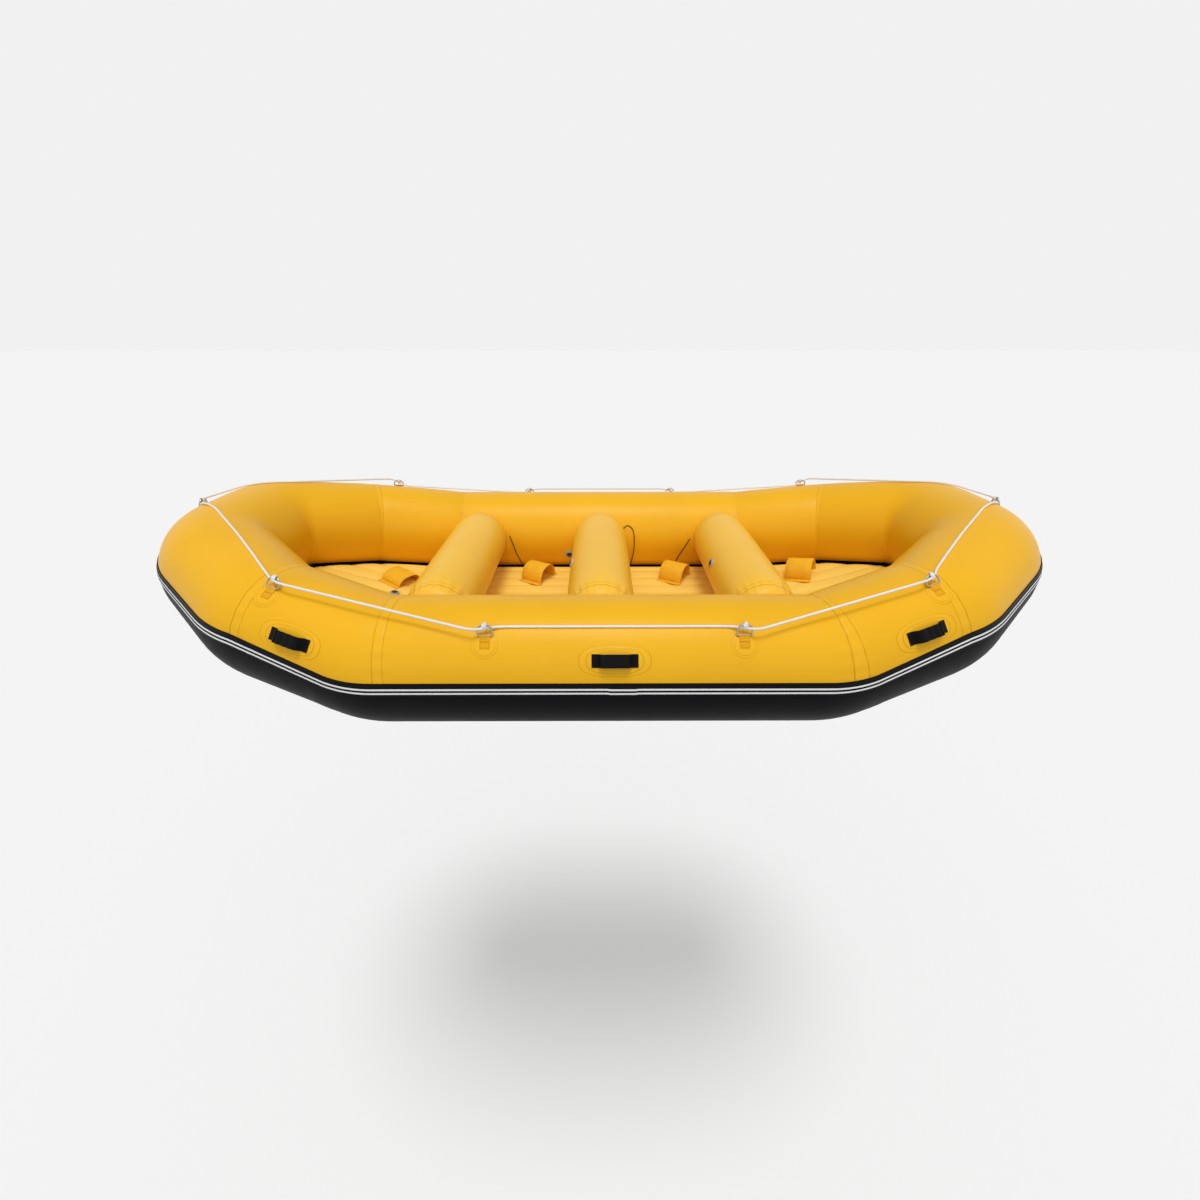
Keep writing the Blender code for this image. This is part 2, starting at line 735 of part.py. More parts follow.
def add_tab(panel, name, matrix):
    """The webbing tab, folded round the bar and glued to its patch, made one with its panel."""
    half = TAB_WIDTH / 2
    strap = [(-half, -TAB_LENGTH), (half, -TAB_LENGTH), (half, 0), (-half, 0)]
    web = prism(strap, -BAR_LIFT - TAB_ROOT, RING_PATCH + TAB_WEB - BAR_LIFT)
    combine(panel, helper(name + "_web", web, matrix), "UNION")
    across = matrix @ Matrix.Rotation(math.pi / 2, 4, "Y")
    fold_radius = WIRE_RADIUS + GAP + TAB_WEB * 3 / 2
    fold = prism(ellipse(fold_radius, fold_radius, FOLD_SIDES), -half, half)
    combine(panel, helper(name + "_fold", fold, across), "UNION")
    bore_radius = (WIRE_RADIUS + GAP) / math.cos(math.pi / FOLD_SIDES)
    bore = prism(ellipse(bore_radius, bore_radius, FOLD_SIDES), -half - OVERRUN, half + OVERRUN)
    combine(panel, helper(name + "_bore", bore, across), "DIFFERENCE")


def ring_mesh():
    """The D-ring's wire: a bar on X, two posts and a half circle, mitred at each point."""
    half = RING_HALF_WIDTH
    path = [Vector((-half + RING_BEND, 0, 0)), Vector((half - RING_BEND, 0, 0)), Vector((half, RING_BEND, 0))]
    for k in range(RING_ARC_POINTS):
        turn = math.pi * k / (RING_ARC_POINTS - 1)
        path.append(Vector((half * math.cos(turn), RING_POST + half * math.sin(turn), 0)))
    path.append(Vector((-half, RING_BEND, 0)))
    rings = []
    for k, point in enumerate(path):
        before = (point - path[k - 1]).normalized()
        after = (path[(k + 1) % len(path)] - point).normalized()
        middle = (before + after).normalized()
        inward = UP.cross(middle) / middle.dot(after)
        turns = [math.tau * (j + 0.5) / WIRE_SIDES for j in range(WIRE_SIDES)]
        rings.append([point + (inward * math.cos(t) + UP * math.sin(t)) * WIRE_RADIUS for t in turns])
    return finished_mesh("d_ring", loft(rings, ends=False))


def stand_up(matrix):
    return matrix @ Matrix.Rotation(math.radians(RING_STAND), 4, "X")


def handle_mesh():
    """A webbing strap along X, flat at both ends and raised between."""
    half = HANDLE_LENGTH / 2
    ramp = half - HANDLE_END
    crown = ramp - HANDLE_RAMP
    half_width = HANDLE_WEBBING / 2
    rings = []
    for x, z in ((-half, 0), (-ramp, 0), (-crown, HANDLE_RISE), (crown, HANDLE_RISE), (ramp, 0), (half, 0)):
        corners = ((-half_width, 0), (half_width, 0), (half_width, HANDLE_STRAP), (-half_width, HANDLE_STRAP))
        rings.append([Vector((x, y, z + height)) for y, height in corners])
    return finished_mesh("handle", loft(rings))


# Valves


def add_valve(host, name, matrix, surface):
    """The valve's flange and well, made one with the piece that carries it, and its quarter-turn cap."""
    flange = prism(ellipse(SEAT_RADIUS, SEAT_RADIUS, VALVE_SIDES), -SEAT_ROOT, SEAT_RISE)
    combine(host, helper(name + "_flange", flange, matrix), "UNION")
    well = prism(ellipse(WELL_RADIUS, WELL_RADIUS, VALVE_SIDES), SEAT_RISE - WELL_DEPTH, SEAT_RISE + OVERRUN)
    combine(host, helper(name + "_well", well, matrix), "DIFFERENCE")
    radius = WELL_RADIUS * math.cos(math.pi / VALVE_SIDES) - GAP
    bottom = SEAT_RISE - WELL_DEPTH + GAP
    top = SEAT_RISE + CAP_RISE
    levels = ((bottom, radius), (top - CAP_RISE / 2, radius), (top, radius - CAP_RISE))
    rings = [[Vector((x, y, z)) for x, y in ellipse(r, r, VALVE_SIDES)] for z, r in levels]
    cap = add_mesh(name + "_cap", loft(rings), surface, matrix)
    half = GRIP_WIDTH / 2
    reach = (radius - CAP_RISE) * GRIP_SHARE
    grip = prism([(-reach, -half), (reach, -half), (reach, half), (-reach, half)], SEAT_RISE, top + GRIP_RISE)
    combine(cap, helper(name + "_grip", grip, matrix), "UNION")


# Cords


def smooth(points, count_between):
    """Points read from a smooth curve through the given ones, by how many each span is to have."""
    padded = [points[0] * 2 - points[1], *points, points[-1] * 2 - points[-2]]
    path = []
    for a, b, c, d in zip(padded, padded[1:], padded[2:], padded[3:]):
        knots = [0.0]
        for first, second in ((a, b), (b, c), (c, d)):
            knots.append(knots[-1] + math.sqrt((second - first).length))
        count = count_between((c - b).length)
        for j in range(count):
            t = knots[1] + (knots[2] - knots[1]) * j / count
            first = [p.lerp(q, (t - k) / (m - k)) for p, q, k, m in zip((a, b, c), (b, c, d), knots, knots[1:])]
            second = [p.lerp(q, (t - k) / (m - k)) for p, q, k, m in zip(first, first[1:], knots, knots[2:])]
            path.append(second[0].lerp(second[1], (t - knots[1]) / (knots[2] - knots[1])))
    return path + [points[-1]]


def cord(name, path, radius, surface):
    curve = bpy.data.curves.new(name, "CURVE")
    curve.dimensions = "3D"
    curve.bevel_depth = radius
    curve.bevel_resolution = 2
    curve.use_fill_caps = True
    spline = curve.splines.new("POLY")
    spline.points.add(len(path) - 1)
    for place, point in zip(spline.points, path):
        place.co = (*point, 1)
    return add_object(name, curve, surface)


def through_ring(station, facet, enter):
    """The rope's way through a ring: beside its plane, through it and out on the other side."""
    matrix = stand_up(bar_frame(station, facet))
    places = ((-ROPE_CLEAR, enter * ROPE_ASIDE), (0, 0), (ROPE_CLEAR, -enter * ROPE_ASIDE))
    return [matrix @ Vector((along, ROPE_THROUGH, beside)) for along, beside in places]


def rope_route():
    """The safety rope's own points, once round the raft from the stern ring and back to it."""
    before, knot, after = through_ring(*ring_places()[0][2:], 1)
    share = ROPE_TAIL / ROPE_CLEAR
    lifted = TUBE_RADIUS + ROPE_RADIUS + 2 * GAP
    route = [knot.lerp(after, share), after]
    for k, ((_, _, station, facet), rests) in enumerate(zip(ring_places(), ROPE_RESTS)):
        if k:
            route += through_ring(station, facet, 1 - k % 2 * 2)
        route += [corner_point(place, angle, lifted) for place, angle in rests]
    return route + [before, knot.lerp(before, share)]


def safety_rope(surface):
    path = smooth(rope_route(), lambda length: 2 if length < ROPE_CLEAR + ROPE_ASIDE / 2 else 1)
    return cord("safety_rope", path, ROPE_RADIUS, surface)


def tie_cord(name, places, surface):
    """A cord down the inboard side of the port tube."""
    flat = [Vector((x, math.radians(angle) * TUBE_RADIUS, 0)) for x, angle in places]
    path = []
    for point in smooth(flat, lambda length: math.ceil(length / TIE_STEP)):
        angle = math.degrees(point.y / TUBE_RADIUS)
        path.append(surface_point(side_station(point.x, 1), angle, TIE_REST))
    return cord(name, path, TIE_RADIUS, surface)


def main():
    clear_scene()
    hull = material("yellow_hull_fabric", (0.86, 0.50, 0.03), 0.42)
    floor_fabric = material("yellow_floor_fabric", (0.88, 0.56, 0.06), 0.45)
    charcoal = material("charcoal_wear_fabric", (0.022, 0.022, 0.025), 0.6)
    black_rubber = material("black_strake_rubber", (0.015, 0.015, 0.016), 0.5)
    webbing = material("black_webbing", (0.012, 0.012, 0.013), 0.8)
    steel = material("stainless_steel", (0.62, 0.62, 0.63), 0.25, 1.0)
    cap_plastic = material("grey_valve_plastic", (0.30, 0.31, 0.33), 0.4)
    white_rope = material("white_rope", (0.88, 0.88, 0.86), 0.8)
    black_cord = material("black_cord", (0.012, 0.012, 0.013), 0.8)

    panels = {}
    for name, start, finish, sockets in PANELS:
        panels[name] = tube_panel(name, start, finish, sockets, sockets, hull)
    for name, seam in BAFFLES:
        baffle(name, seam, hull)
    for name, start, finish in skins():
        wear_skin(name, start, finish, charcoal)
    rub_strake(black_rubber)

    floor = inflated_floor(floor_fabric)
    cutters = [side_cutter("port_seat_cutter", 9), side_cutter("starboard_seat_cutter", 21)]
    for name, place in (("stern", -1), ("middle", 0), ("bow", 1)):
        x = place * THWART_SPACING
        tube = thwart(f"thwart_{name}", x, cutters, hull)
        add_valve(tube, f"thwart_{name}_valve", thwart_valve_frame(x), cap_plastic)
    add_valve(floor, "floor_valve", floor_frame(FLOOR_VALVE_X, FLOOR_VALVE_Y), cap_plastic)
    foot_loops(floor_fabric)

    d_ring = ring_mesh()
    for name, panel, station, facet in ring_places():
        add_ring_patch(panels[panel], name, station, facet)
        add_tab(panels[panel], f"ring_tab_{name}", bar_frame(station, facet))
        add_object(f"d_ring_{name}", d_ring, steel, stand_up(bar_frame(station, facet)))
    strap = handle_mesh()
    for name, panel, station in handle_places():
        add_handle_patch(panels[panel], name, station)
        add_object(f"handle_{name}", strap, webbing, facet_frame(station, HANDLE_FACET, 0, PATCH + GAP))
    for chamber, panel, station in (
        ("bow", "shoulder_tube_starboard_bow", 1.5),
        ("stern", "shoulder_tube_starboard_stern", 21.5),
        ("port", "side_tube_port", side_station(TUBE_VALVE_X, 1)),
        ("starboard", "side_tube_starboard", side_station(TUBE_VALVE_X, -1)),
    ):
        add_valve(panels[panel], f"{chamber}_valve", facet_frame(station, TUBE_VALVE_FACET), cap_plastic)

    safety_rope(white_rope)
    tie_cord("tie_cord_stern", STERN_TIE, black_cord)
    tie_cord("tie_cord_middle", MID_TIE, black_cord)
    tie_cord("tie_cord_bow", BOW_TIE, black_cord)


if __name__ == "__main__":
    main()
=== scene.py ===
"""A whitewater raft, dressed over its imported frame. Lengths are metres, +X to the bow, +Y to port, +Z up."""

import math

import bmesh
import bpy
import numpy as np
from mathutils import Matrix, Vector


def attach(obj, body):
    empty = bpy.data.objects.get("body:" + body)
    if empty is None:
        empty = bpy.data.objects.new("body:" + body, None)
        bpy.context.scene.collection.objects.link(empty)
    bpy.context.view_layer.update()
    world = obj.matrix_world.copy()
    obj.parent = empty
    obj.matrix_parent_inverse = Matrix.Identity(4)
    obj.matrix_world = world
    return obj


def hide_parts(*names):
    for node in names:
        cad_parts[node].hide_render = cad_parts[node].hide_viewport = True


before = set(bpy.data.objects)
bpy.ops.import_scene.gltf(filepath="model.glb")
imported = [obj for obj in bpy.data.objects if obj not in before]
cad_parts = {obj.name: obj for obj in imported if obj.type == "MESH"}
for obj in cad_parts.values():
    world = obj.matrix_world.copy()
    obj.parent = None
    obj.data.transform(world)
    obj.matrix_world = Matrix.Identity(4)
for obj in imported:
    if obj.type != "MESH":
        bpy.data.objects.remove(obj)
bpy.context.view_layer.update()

UP = Vector((0, 0, 1))

# The camera, fitted to the photograph
CAMERA_PLACE = (-0.0106, -2.6036, 1.4684)
CAMERA_PITCH = 27.22
CAMERA_YAW = 0.2
CAMERA_LENS = 15.75
SENSOR = 36.0
CAMERA_REACH = 200.0
FLOOR_DROP = 5.0  # far enough for the photograph's small soft shadow

# Light
FLOOR_SIZE = 400.0
BACKDROP = 0.879
FLOOR_SEEN = 0.895
FLOOR_BOUNCE = 0.30
FLOOR_GLOW = 0.09
WORLD_FRONT = (0, -0.8, 0.6)
WORLD_START = -0.1  # where its light starts to rise, as a cosine from its front
WORLD_LOW = 0.14
WORLD_HIGH = 1.12
WORLD_SIDES = 0.50  # how much less comes from beyond the ends
SUN_POWER = 1.12
SUN_SPREAD = 20.0
SUN_TILT = 10.5

# The tube ring, as in the CAD source
RAFT_LENGTH = 4.2
BEAM = 2.06
TUBE_RADIUS = 0.26
SIDE_LENGTH = 1.81
QUARTER_X = 1.43
QUARTER_INSET = 0.17
QUARTER_RISE = 0.10
END_WIDTH = 0.50
END_RISE = 0.2125
CORNER_SPARE = 0.0096
LAP = 0.025
TUBE_SIDES = 24
GAP = 0.0003
SKIN = 0.0015
STEP = 360 / TUBE_SIDES
HALF_STEP = STEP / 2
FACET_SHARE = math.cos(math.radians(HALF_STEP))
CENTRE_HEIGHT = SKIN + GAP + TUBE_RADIUS * FACET_SHARE
SIDE_LINE = BEAM / 2 - TUBE_RADIUS
ROUND_RADIUS = 0.2588  # of the dressed tube, between the facets' middles and their corners
BEND_REACHES = (0.06, 0.065, 0.14)  # how far a corner's bend reaches along its legs: shoulder, quarter, end

ROW_STEP = 0.014  # along the dressed tube
COLUMN_ANGLES = np.arange(0, 360, 2.5)

# Skins and strake
SKIN_ROW_STEP = 0.02
SKIN_SHARES = np.concatenate([[0, 0.004], np.linspace(0.02, 0.98, 26), [0.992, 1]])
SKIN_EDGE_SHARE = 0.008
SKIN_LAP = 0.03
SKIN_LAP_EDGE = 0.004
SKIN_LAP_RISE = 0.0012
SKIN_LOW_ANGLE = -117
SKIN_SEAM = 0.05
SKIN_UNDER = 1.6  # degrees it runs up under the strake
STRAKE_ANGLES = (-1.0, 6.5, 6.5)  # of its lower edge at the shoulder, quarter and end corners
STRAKE_SPAN = 12.5
STRAKE_ROW_STEP = 0.015
STRAKE_SHARES = np.array([
    0, 0.012, 0.03, 0.22, 0.24, 0.26, 0.35, 0.37, 0.39,
    0.50, 0.52, 0.54, 0.63, 0.65, 0.67, 0.85, 0.97, 0.988, 1,
])
STRAKE_ROUND_SHARE = 0.035
STRAKE_BASE = 0.004
STRAKE_RIB = 0.0058
WHITE_SHARES = ((0.24, 0.37), (0.52, 0.65))
STRAKE_JOINT = (0.02, 0.14)  # the overlap on the starboard side, as X from amidships
STRAKE_JOINT_RISE = 0.003
STRAKE_JOINT_EDGE = 0.012

# Seams and patches
TAPE_HALF = 0.018
TAPE_RISE = 0.0013
TAPE_EDGE = 0.0025
TAPE_SUNK = 0.0001
TAPE_PINCH = 0.0026
PINCH_REACH = 0.045
# The darker line along each edge of a glued lap is painted shade at its step.
SEAM_LINE = 0.003
SEAM_LINE_RISE = 0.0003
SEAM_SHIFTS = {0: 0.02, 1: -0.08, 5: -0.03, 6: 0.03, 10: 0.08, 11: 0.08}
PUCKERS = 27
PUCKER_RISE = 0.0013
PUCKER_REACH = 0.03
PUCKER_SWAY = 1.4  # how unevenly they stand round the tube
PUCKER_UNDER = 0.4  # how far they go round its sides
PATCH_LAYERS = 2
PATCH_RISE = 0.0007
PATCH_EDGE = 0.0022
PATCH_STEP_SHARE = 0.2
PATCH_BEVEL_SHARE = 0.01
PATCH_SQUARE = 2.6  # power of an oval patch's outline
PATCH_POINTS = 64

# Thwarts
THWART_RADIUS = 0.16
THWART_SPACING = 0.74
THWART_HEIGHT = 0.32
THWART_VALVE_Y = -0.04
THWART_VALVE_TURN = 162
THWART_CAP_START = 0.395
THWART_CAP_LENGTH = 0.165
THWART_CAP_DEPTH = 0.052
THWART_CAP_ROWS = 56
THWART_CAP_SQUARE = 2.4
THWART_ROW_STEP = 0.02
THWART_COLUMNS = 128
THWART_SEAM = 0.498
THWART_LAP_RISE = 0.0014
THWART_LAP_HALF = 0.012
THWART_LAP_EDGE = 0.003
# The thwart's darker lines are painted shade at the lap's edges.
THWART_SHADE_LINES = (0.009, 0.0125)  # the darker lines, from the seam's middle
THWART_PINCH = 0.003
THWART_PINCH_REACH = 0.02
THWART_PUCKERS = 23
THWART_PUCKER_RISE = 0.0022
THWART_PUCKER_REACH = 0.035
THWART_PUCKER_SWAY = 1.3
THWARTS = (("stern", -THWART_SPACING), ("middle", 0.0), ("bow", THWART_SPACING))

# Floor
FLOOR_TOP = 0.105
FLOOR_THICKNESS = 0.088
FLOOR_BENDS = ((0.837, 0.0), (0.934, 0.011), (1.319, 0.089), (1.385, 0.110), (1.612, 0.181), (1.637, 0.196))
FLOOR_EDGE_GAP = 0.036
FLUTE_WIDTH = 0.104
FLUTE_RISE = 0.012
FLUTE_COLUMNS = 14
FLUTE_ROUND = 0.96  # how round a beam's top is, 1 being a half circle
FLOOR_ROW_STEP = 0.016
FLOOR_MERGE = 0.0004
FLOOR_SOFT = 0.05  # how far its bends are rounded, both ways
FLANGE_ANGLE = -135
FLANGE_LEVEL_SHARE = 0.6
FLOOR_VALVE = (-1.15, 0.03)
FLANGE_SUNK = 0.03
FLANGE_UNDER = 0.012
FLANGE_RISE = 0.001
FLANGE_HALF_ANGLE = 0.5
FLANGE_LAP = ((0.0, 0.002), (-6.6, 0.002), (-7.0, -0.0005))
LOOP_SPAN = 0.15
LOOP_FOOT = 0.028
LOOP_WIDTH = 0.145
LOOP_STRAP = 0.003
LOOP_TURN = -30
LOOP_POINTS = 33
LOOP_LEAN = 0.10
LOOP_SQUARE = 0.92  # the powers that square and round the arch
LOOP_ROUND = 0.86
LOOP_SAG = 0.0008
LOOP_FOOT_RISE = 0.0003
LOOPS = (
    ("stern", -1.17, 0.31, 0.05),
    ("mid_stern", -0.38, 0.15, 0.09),
    ("mid_bow", 0.46, 0.15, 0.09),
    ("bow", 1.20, 0.25, 0.09),
)

# Fittings
FITTING_SHIFT = 0.05
RING_SPACING = 0.48
RING_FROM_QUARTER = 0.072
CORNER_SHIFT = 0.012
BAR_RISE = 0.026
BAR_LIFT = 0.0073
WIRE_RADIUS = 0.003
RING_HALF_WIDTH = 0.028
RING_POST = 0.014
RING_BEND = 0.004
RING_BEND_CUT = 0.4  # radians left off each bend, beside the bar
RING_STAND = 30
RING_PATCH_RADIUS = 0.05
RING_PATCH_DROP = 0.01
TAB_WIDTH = 0.040
TAB_LENGTH = 0.050
TAB_STRAP = 0.0014
TAB_SHARES = (1, 0.75, 0.5, 0.25)
TAB_NEAR_BAR = 0.006
TAB_BAR_DROP = 0.0009
TAB_ROOM = 0.0004
TAB_FOLD_CUT = 0.1  # radians left off the fold round the bar, at both ends
TAB_BACK = (-0.007, 1.6)  # where the end that is folded back starts, and its height in straps
TAB_BACK_SHARES = (0.45, 1.1)  # where it stops, as a share of the tab, and its height in straps
STITCH_RADIUS = 0.0009
STITCH_WIDTH_SHARE = 0.8
STITCH_SHARES = (0.93, 0.5)
HANDLE_LENGTH = 0.172
HANDLE_WEBBING = 0.050
HANDLE_STRAP = 0.0025
HANDLE_END = 0.022
HANDLE_RAMP = 0.020
HANDLE_RISE = 0.026
HANDLE_FROM_SHOULDER = 0.21
HANDLE_SHIFT = 0.035
HANDLE_LIFT = 0.0018
HANDLE_PATCH = (0.135, 0.06)
HANDLE_FACET = 2
HANDLE_POINTS = 61
HANDLE_DIP = 0.003
HANDLE_DIPS = 1.5
STRAP_EDGE_SHARE = 0.35
KNOT_TURNS = 2.25
KNOT_START = 0.6  # radians
KNOT_POINTS = 54
KNOT_LENGTH = 0.013
KNOT_DEPTH = 0.0085
KNOT_ROOM = 0.0028
KNOT_SWELL = 0.12
KNOT_TAIL = 0.005
KNOT_RADIUS = 0.003

# Valves, as radii and heights of their round pieces
VALVE_X = -0.195
VALVE_FACET = 13
VALVE_SUNK = 0.002
VALVE_SEAT = (
    (0.0275, -0.004), (0.0275, 0.003), (0.0265, 0.0045), (0.0225, 0.005), (0.0215, 0.0042), (0.0213, -0.004),
)
VALVE_LID = (
    (0.0203, -0.004), (0.0203, 0.0062), (0.0192, 0.0078), (0.0165, 0.0085), (0.0155, 0.0068), (0.006, 0.0066),
    (0.0002, 0.0066),
)
VALVE_LID_SLOTS = (0, 0, 0, 1, 1, 1)
GRIP_HALF = 0.0145
GRIP_BASE = 0.0065
GRIP_RISE = 0.0052
GRIP_WIDTH = 0.006
GRIP_THICKNESS = 0.0012
GRIP_POINTS = 13

# The rope and the tie cords, on the routes of the CAD source
ROPE_EASED_IN = 0.0035  # what easing takes off the rope's room beside a ring
ROPE_RADIUS = 0.005
ROPE_THROUGH = 0.027
ROPE_ASIDE = 0.022
ROPE_CLEAR = 0.042
ROPE_TAIL = 0.006
ROPE_RESTS = (
    (
        (17.77, 52.5), (17.955, 67.5), (18, 72.5), (18.37, 82.5), (19, 92.5),
        (19.45, 90.4), (20, 86.2), (20.46, 82.5), (21, 78.3),
    ),
    (),
    (),
    (),
    (
        (26, 78.3), (26.54, 82.5), (27, 86.2), (27.55, 90.4), (28, 92.5),
        (28.63, 82.5), (29, 72.5), (29.045, 67.5), (29.23, 52.5),
    ),
    ((30, 67.5), (30.58, 82.5), (31, 89.5)),
    (),
    (),
    (),
    ((40, 89.5), (40.42, 82.5), (41, 67.5)),
)
ROPE_STEP = 0.008
LINE_STEP = 0.01
ROPE_EASE = 14  # rounds of easing at the rope's bends
TIE_RADIUS = 0.0025
TIE_REST = 0.0036
TIE_STEP = 0.0125
TIES = {
    "stern": ((-0.583, 167), (-0.565, 177), (-0.545, 192), (-0.522, 207), (-0.512, 217)),
    "middle": (
        (0.152, 157), (0.178, 153), (0.210, 158), (0.222, 172), (0.220, 188), (0.210, 204), (0.202, 216),
    ),
    "bow": ((0.582, 171), (0.560, 179), (0.530, 191), (0.505, 204), (0.490, 216)),
}


# The centreline and its frames


def ring_corners():
    """The centreline's twelve corners, from the starboard bow to port and round the stern."""
    quarter = [
        (SIDE_LENGTH / 2, SIDE_LINE, 0),
        (QUARTER_X, SIDE_LINE - QUARTER_INSET, QUARTER_RISE),
        (RAFT_LENGTH / 2 - TUBE_RADIUS, END_WIDTH / 2, END_RISE),
    ]
    around = []
    for ahead, aport, order in ((1, -1, 1), (1, 1, -1), (-1, 1, 1), (-1, -1, -1)):
        around += [Vector((ahead * x, aport * y, z + CENTRE_HEIGHT)) for x, y, z in quarter[::order]]
    return around


CORNERS = ring_corners()


def corner_turn(k):
    before = CORNERS[k] - CORNERS[k - 1]
    after = CORNERS[(k + 1) % len(CORNERS)] - CORNERS[k]
    return before.angle(after)


def corner_cut(k):
    """How far a corner of the faceted tube is cut back along both of its legs."""
    turn = corner_turn(k)
    return (TUBE_RADIUS * math.tan(turn / 4) + LAP + CORNER_SPARE) / math.cos(turn / 2)


def bend_reach(k):
    """How far the dressed tube's bend reaches from a corner along both of its legs."""
    return BEND_REACHES[min(k % 6, 5 - k % 6)]


def carried_axes(points):
    """Direction, outboard and upward axes of each leg, carried round the ring without a twist."""
    directions = [(b - a).normalized() for a, b in zip(points, points[1:] + points[:1])]
    outboard = directions[-1].cross(UP).normalized()
    axes = []
    for k, direction in enumerate(directions):
        outboard = directions[k - 1].rotation_difference(direction) @ outboard
        axes.append((direction, outboard, outboard.cross(direction)))
    return axes


def cut_corners():
    points = []
    for k, corner in enumerate(CORNERS):
        before = (CORNERS[k - 1] - corner).normalized()
        after = (CORNERS[(k + 1) % len(CORNERS)] - corner).normalized()
        points += [corner + before * corner_cut(k), corner + after * corner_cut(k)]
    return points


CENTRES = cut_corners()
STATIONS = len(CENTRES)
LEGS = carried_axes(CENTRES)
SPANS = len(CORNERS)
SPAN_AXES = carried_axes(CORNERS)


def round_spans():
    """Each rounded corner and the straight after it: where it starts, its bend and its lengths."""
    spans = []
    start = 0.0
    for k, corner in enumerate(CORNERS):
        turn = corner_turn(k)
        reach = bend_reach(k)
        bend = reach / math.tan(turn / 2)
        before, after = SPAN_AXES[k - 1][0], SPAN_AXES[k][0]
        axis = before.cross(after).normalized()
        first = corner - before * reach
        pivot = first + axis.cross(before) * bend
        arc = bend * turn
        straight = (CORNERS[(k + 1) % SPANS] - corner).length - reach - bend_reach(k + 1)
        spans.append((start, arc, straight, turn, axis, pivot, first, reach))
        start += arc + straight
    return spans, start


ROUND, AROUND = round_spans()


def place_on_line(u):
    """Centre, direction, outboard and upward axes at a length along the rounded centreline."""
    u %= AROUND
    k = max(j for j in range(SPANS) if ROUND[j][0] <= u)
    start, arc, _, turn, axis, pivot, first, _ = ROUND[k]
    if u - start < arc:
        turned = Matrix.Rotation(turn * (u - start) / arc, 3, axis)
        centre = pivot + turned @ (first - pivot)
        return (centre, *(turned @ a for a in SPAN_AXES[k - 1]))
    turned = Matrix.Rotation(turn, 3, axis)
    centre = pivot + turned @ (first - pivot) + SPAN_AXES[k][0] * (u - start - arc)
    return (centre, *SPAN_AXES[k])


def along_leg(k, distance):
    """The length along the line that lies a distance past corner k, on its straight."""
    start, arc, _, _, _, _, _, reach = ROUND[k % SPANS]
    return start + arc + distance - reach


def corner_middle(k):
    """The length along the line at the middle of a corner."""
    return ROUND[k % SPANS][0] + ROUND[k % SPANS][1] / 2 + (AROUND if k >= SPANS else 0)


def side_place(x, side):
    """The length along the line at X on a side tube: port is 1, starboard -1."""
    return along_leg(5, SIDE_LENGTH / 2 - x) if side > 0 else along_leg(11, x + SIDE_LENGTH / 2)


def wrap(us, angles, lifts):
    """Points on the round tube: rows by length, columns by angle in degrees, at a lift off it."""
    rows = [place_on_line(u) for u in us]
    centre = np.array([row[0] for row in rows])[:, None]
    outboard = np.array([row[2] for row in rows])[:, None]
    upward = np.array([row[3] for row in rows])[:, None]
    turn = np.radians(np.broadcast_to(angles, (len(us), np.shape(angles)[-1])))[..., None]
    radius = (ROUND_RADIUS + np.broadcast_to(lifts, turn.shape[:2]))[..., None]
    return centre + (outboard * np.cos(turn) + upward * np.sin(turn)) * radius


def mitre_point(station, angle, radius):
    """A corner of the faceted tube's ring at a station, as the CAD has it."""
    leg = station % STATIONS
    direction, outboard, upward = LEGS[leg]
    bisector = LEGS[leg - 1][0] + direction
    turn = math.radians(angle)
    out = outboard * math.cos(turn) + upward * math.sin(turn)
    return CENTRES[leg] + (out - direction * (out.dot(bisector) / direction.dot(bisector))) * radius


def corner_point(station, angle, radius):
    start = math.floor(station)
    first = mitre_point(start, angle, radius)
    return first.lerp(mitre_point(start + 1, angle, radius), station - start)


def surface_point(station, angle, lift):
    radius = TUBE_RADIUS + lift / FACET_SHARE
    low = HALF_STEP + math.floor((angle - HALF_STEP) / STEP) * STEP
    first = corner_point(station, low, radius)
    return first.lerp(corner_point(station, low + STEP, radius), (angle - low) / STEP)


def frame_at(origin, along, outward):
    z = outward.normalized()
    x = (along - z * along.dot(z)).normalized()
    made = Matrix((x, z.cross(x), z)).transposed().to_4x4()
    made.translation = origin
    return made


def facet_frame(u, facet, across=0.0, lift=0.0):
    """Axes on a facet of the CAD tube: X along the leg, Y towards the next facet up, Z straight out."""
    centre, direction, outboard, upward = place_on_line(u)
    turn = math.radians(facet * STEP)
    out = outboard * math.cos(turn) + upward * math.sin(turn)
    rise = upward * math.cos(turn) - outboard * math.sin(turn)
    return frame_at(centre + out * (TUBE_RADIUS * FACET_SHARE + lift) + rise * across, direction, out)


# Where the fittings sit


def ring_places():
    """Name, length along the line and facet of each ring, in the rope's order from the stern."""
    leg = (CORNERS[1] - CORNERS[0]).length
    near = corner_cut(1) + RING_FROM_QUARTER
    return (
        ("stern", along_leg(8, END_WIDTH / 2), 2),
        ("starboard_stern", along_leg(10, near + CORNER_SHIFT), 4),
        ("starboard_mid_stern", side_place(FITTING_SHIFT - RING_SPACING, -1), 3),
        ("starboard_mid_bow", side_place(FITTING_SHIFT + RING_SPACING, -1), 3),
        ("starboard_bow", along_leg(0, leg - near + CORNER_SHIFT), 4),
        ("bow", along_leg(2, END_WIDTH / 2), 2),
        ("port_bow", along_leg(4, near), 4),
        ("port_mid_bow", side_place(RING_SPACING, 1), 3),
        ("port_mid_stern", side_place(-RING_SPACING, 1), 3),
        ("port_stern", along_leg(6, leg - near), 4),
    )


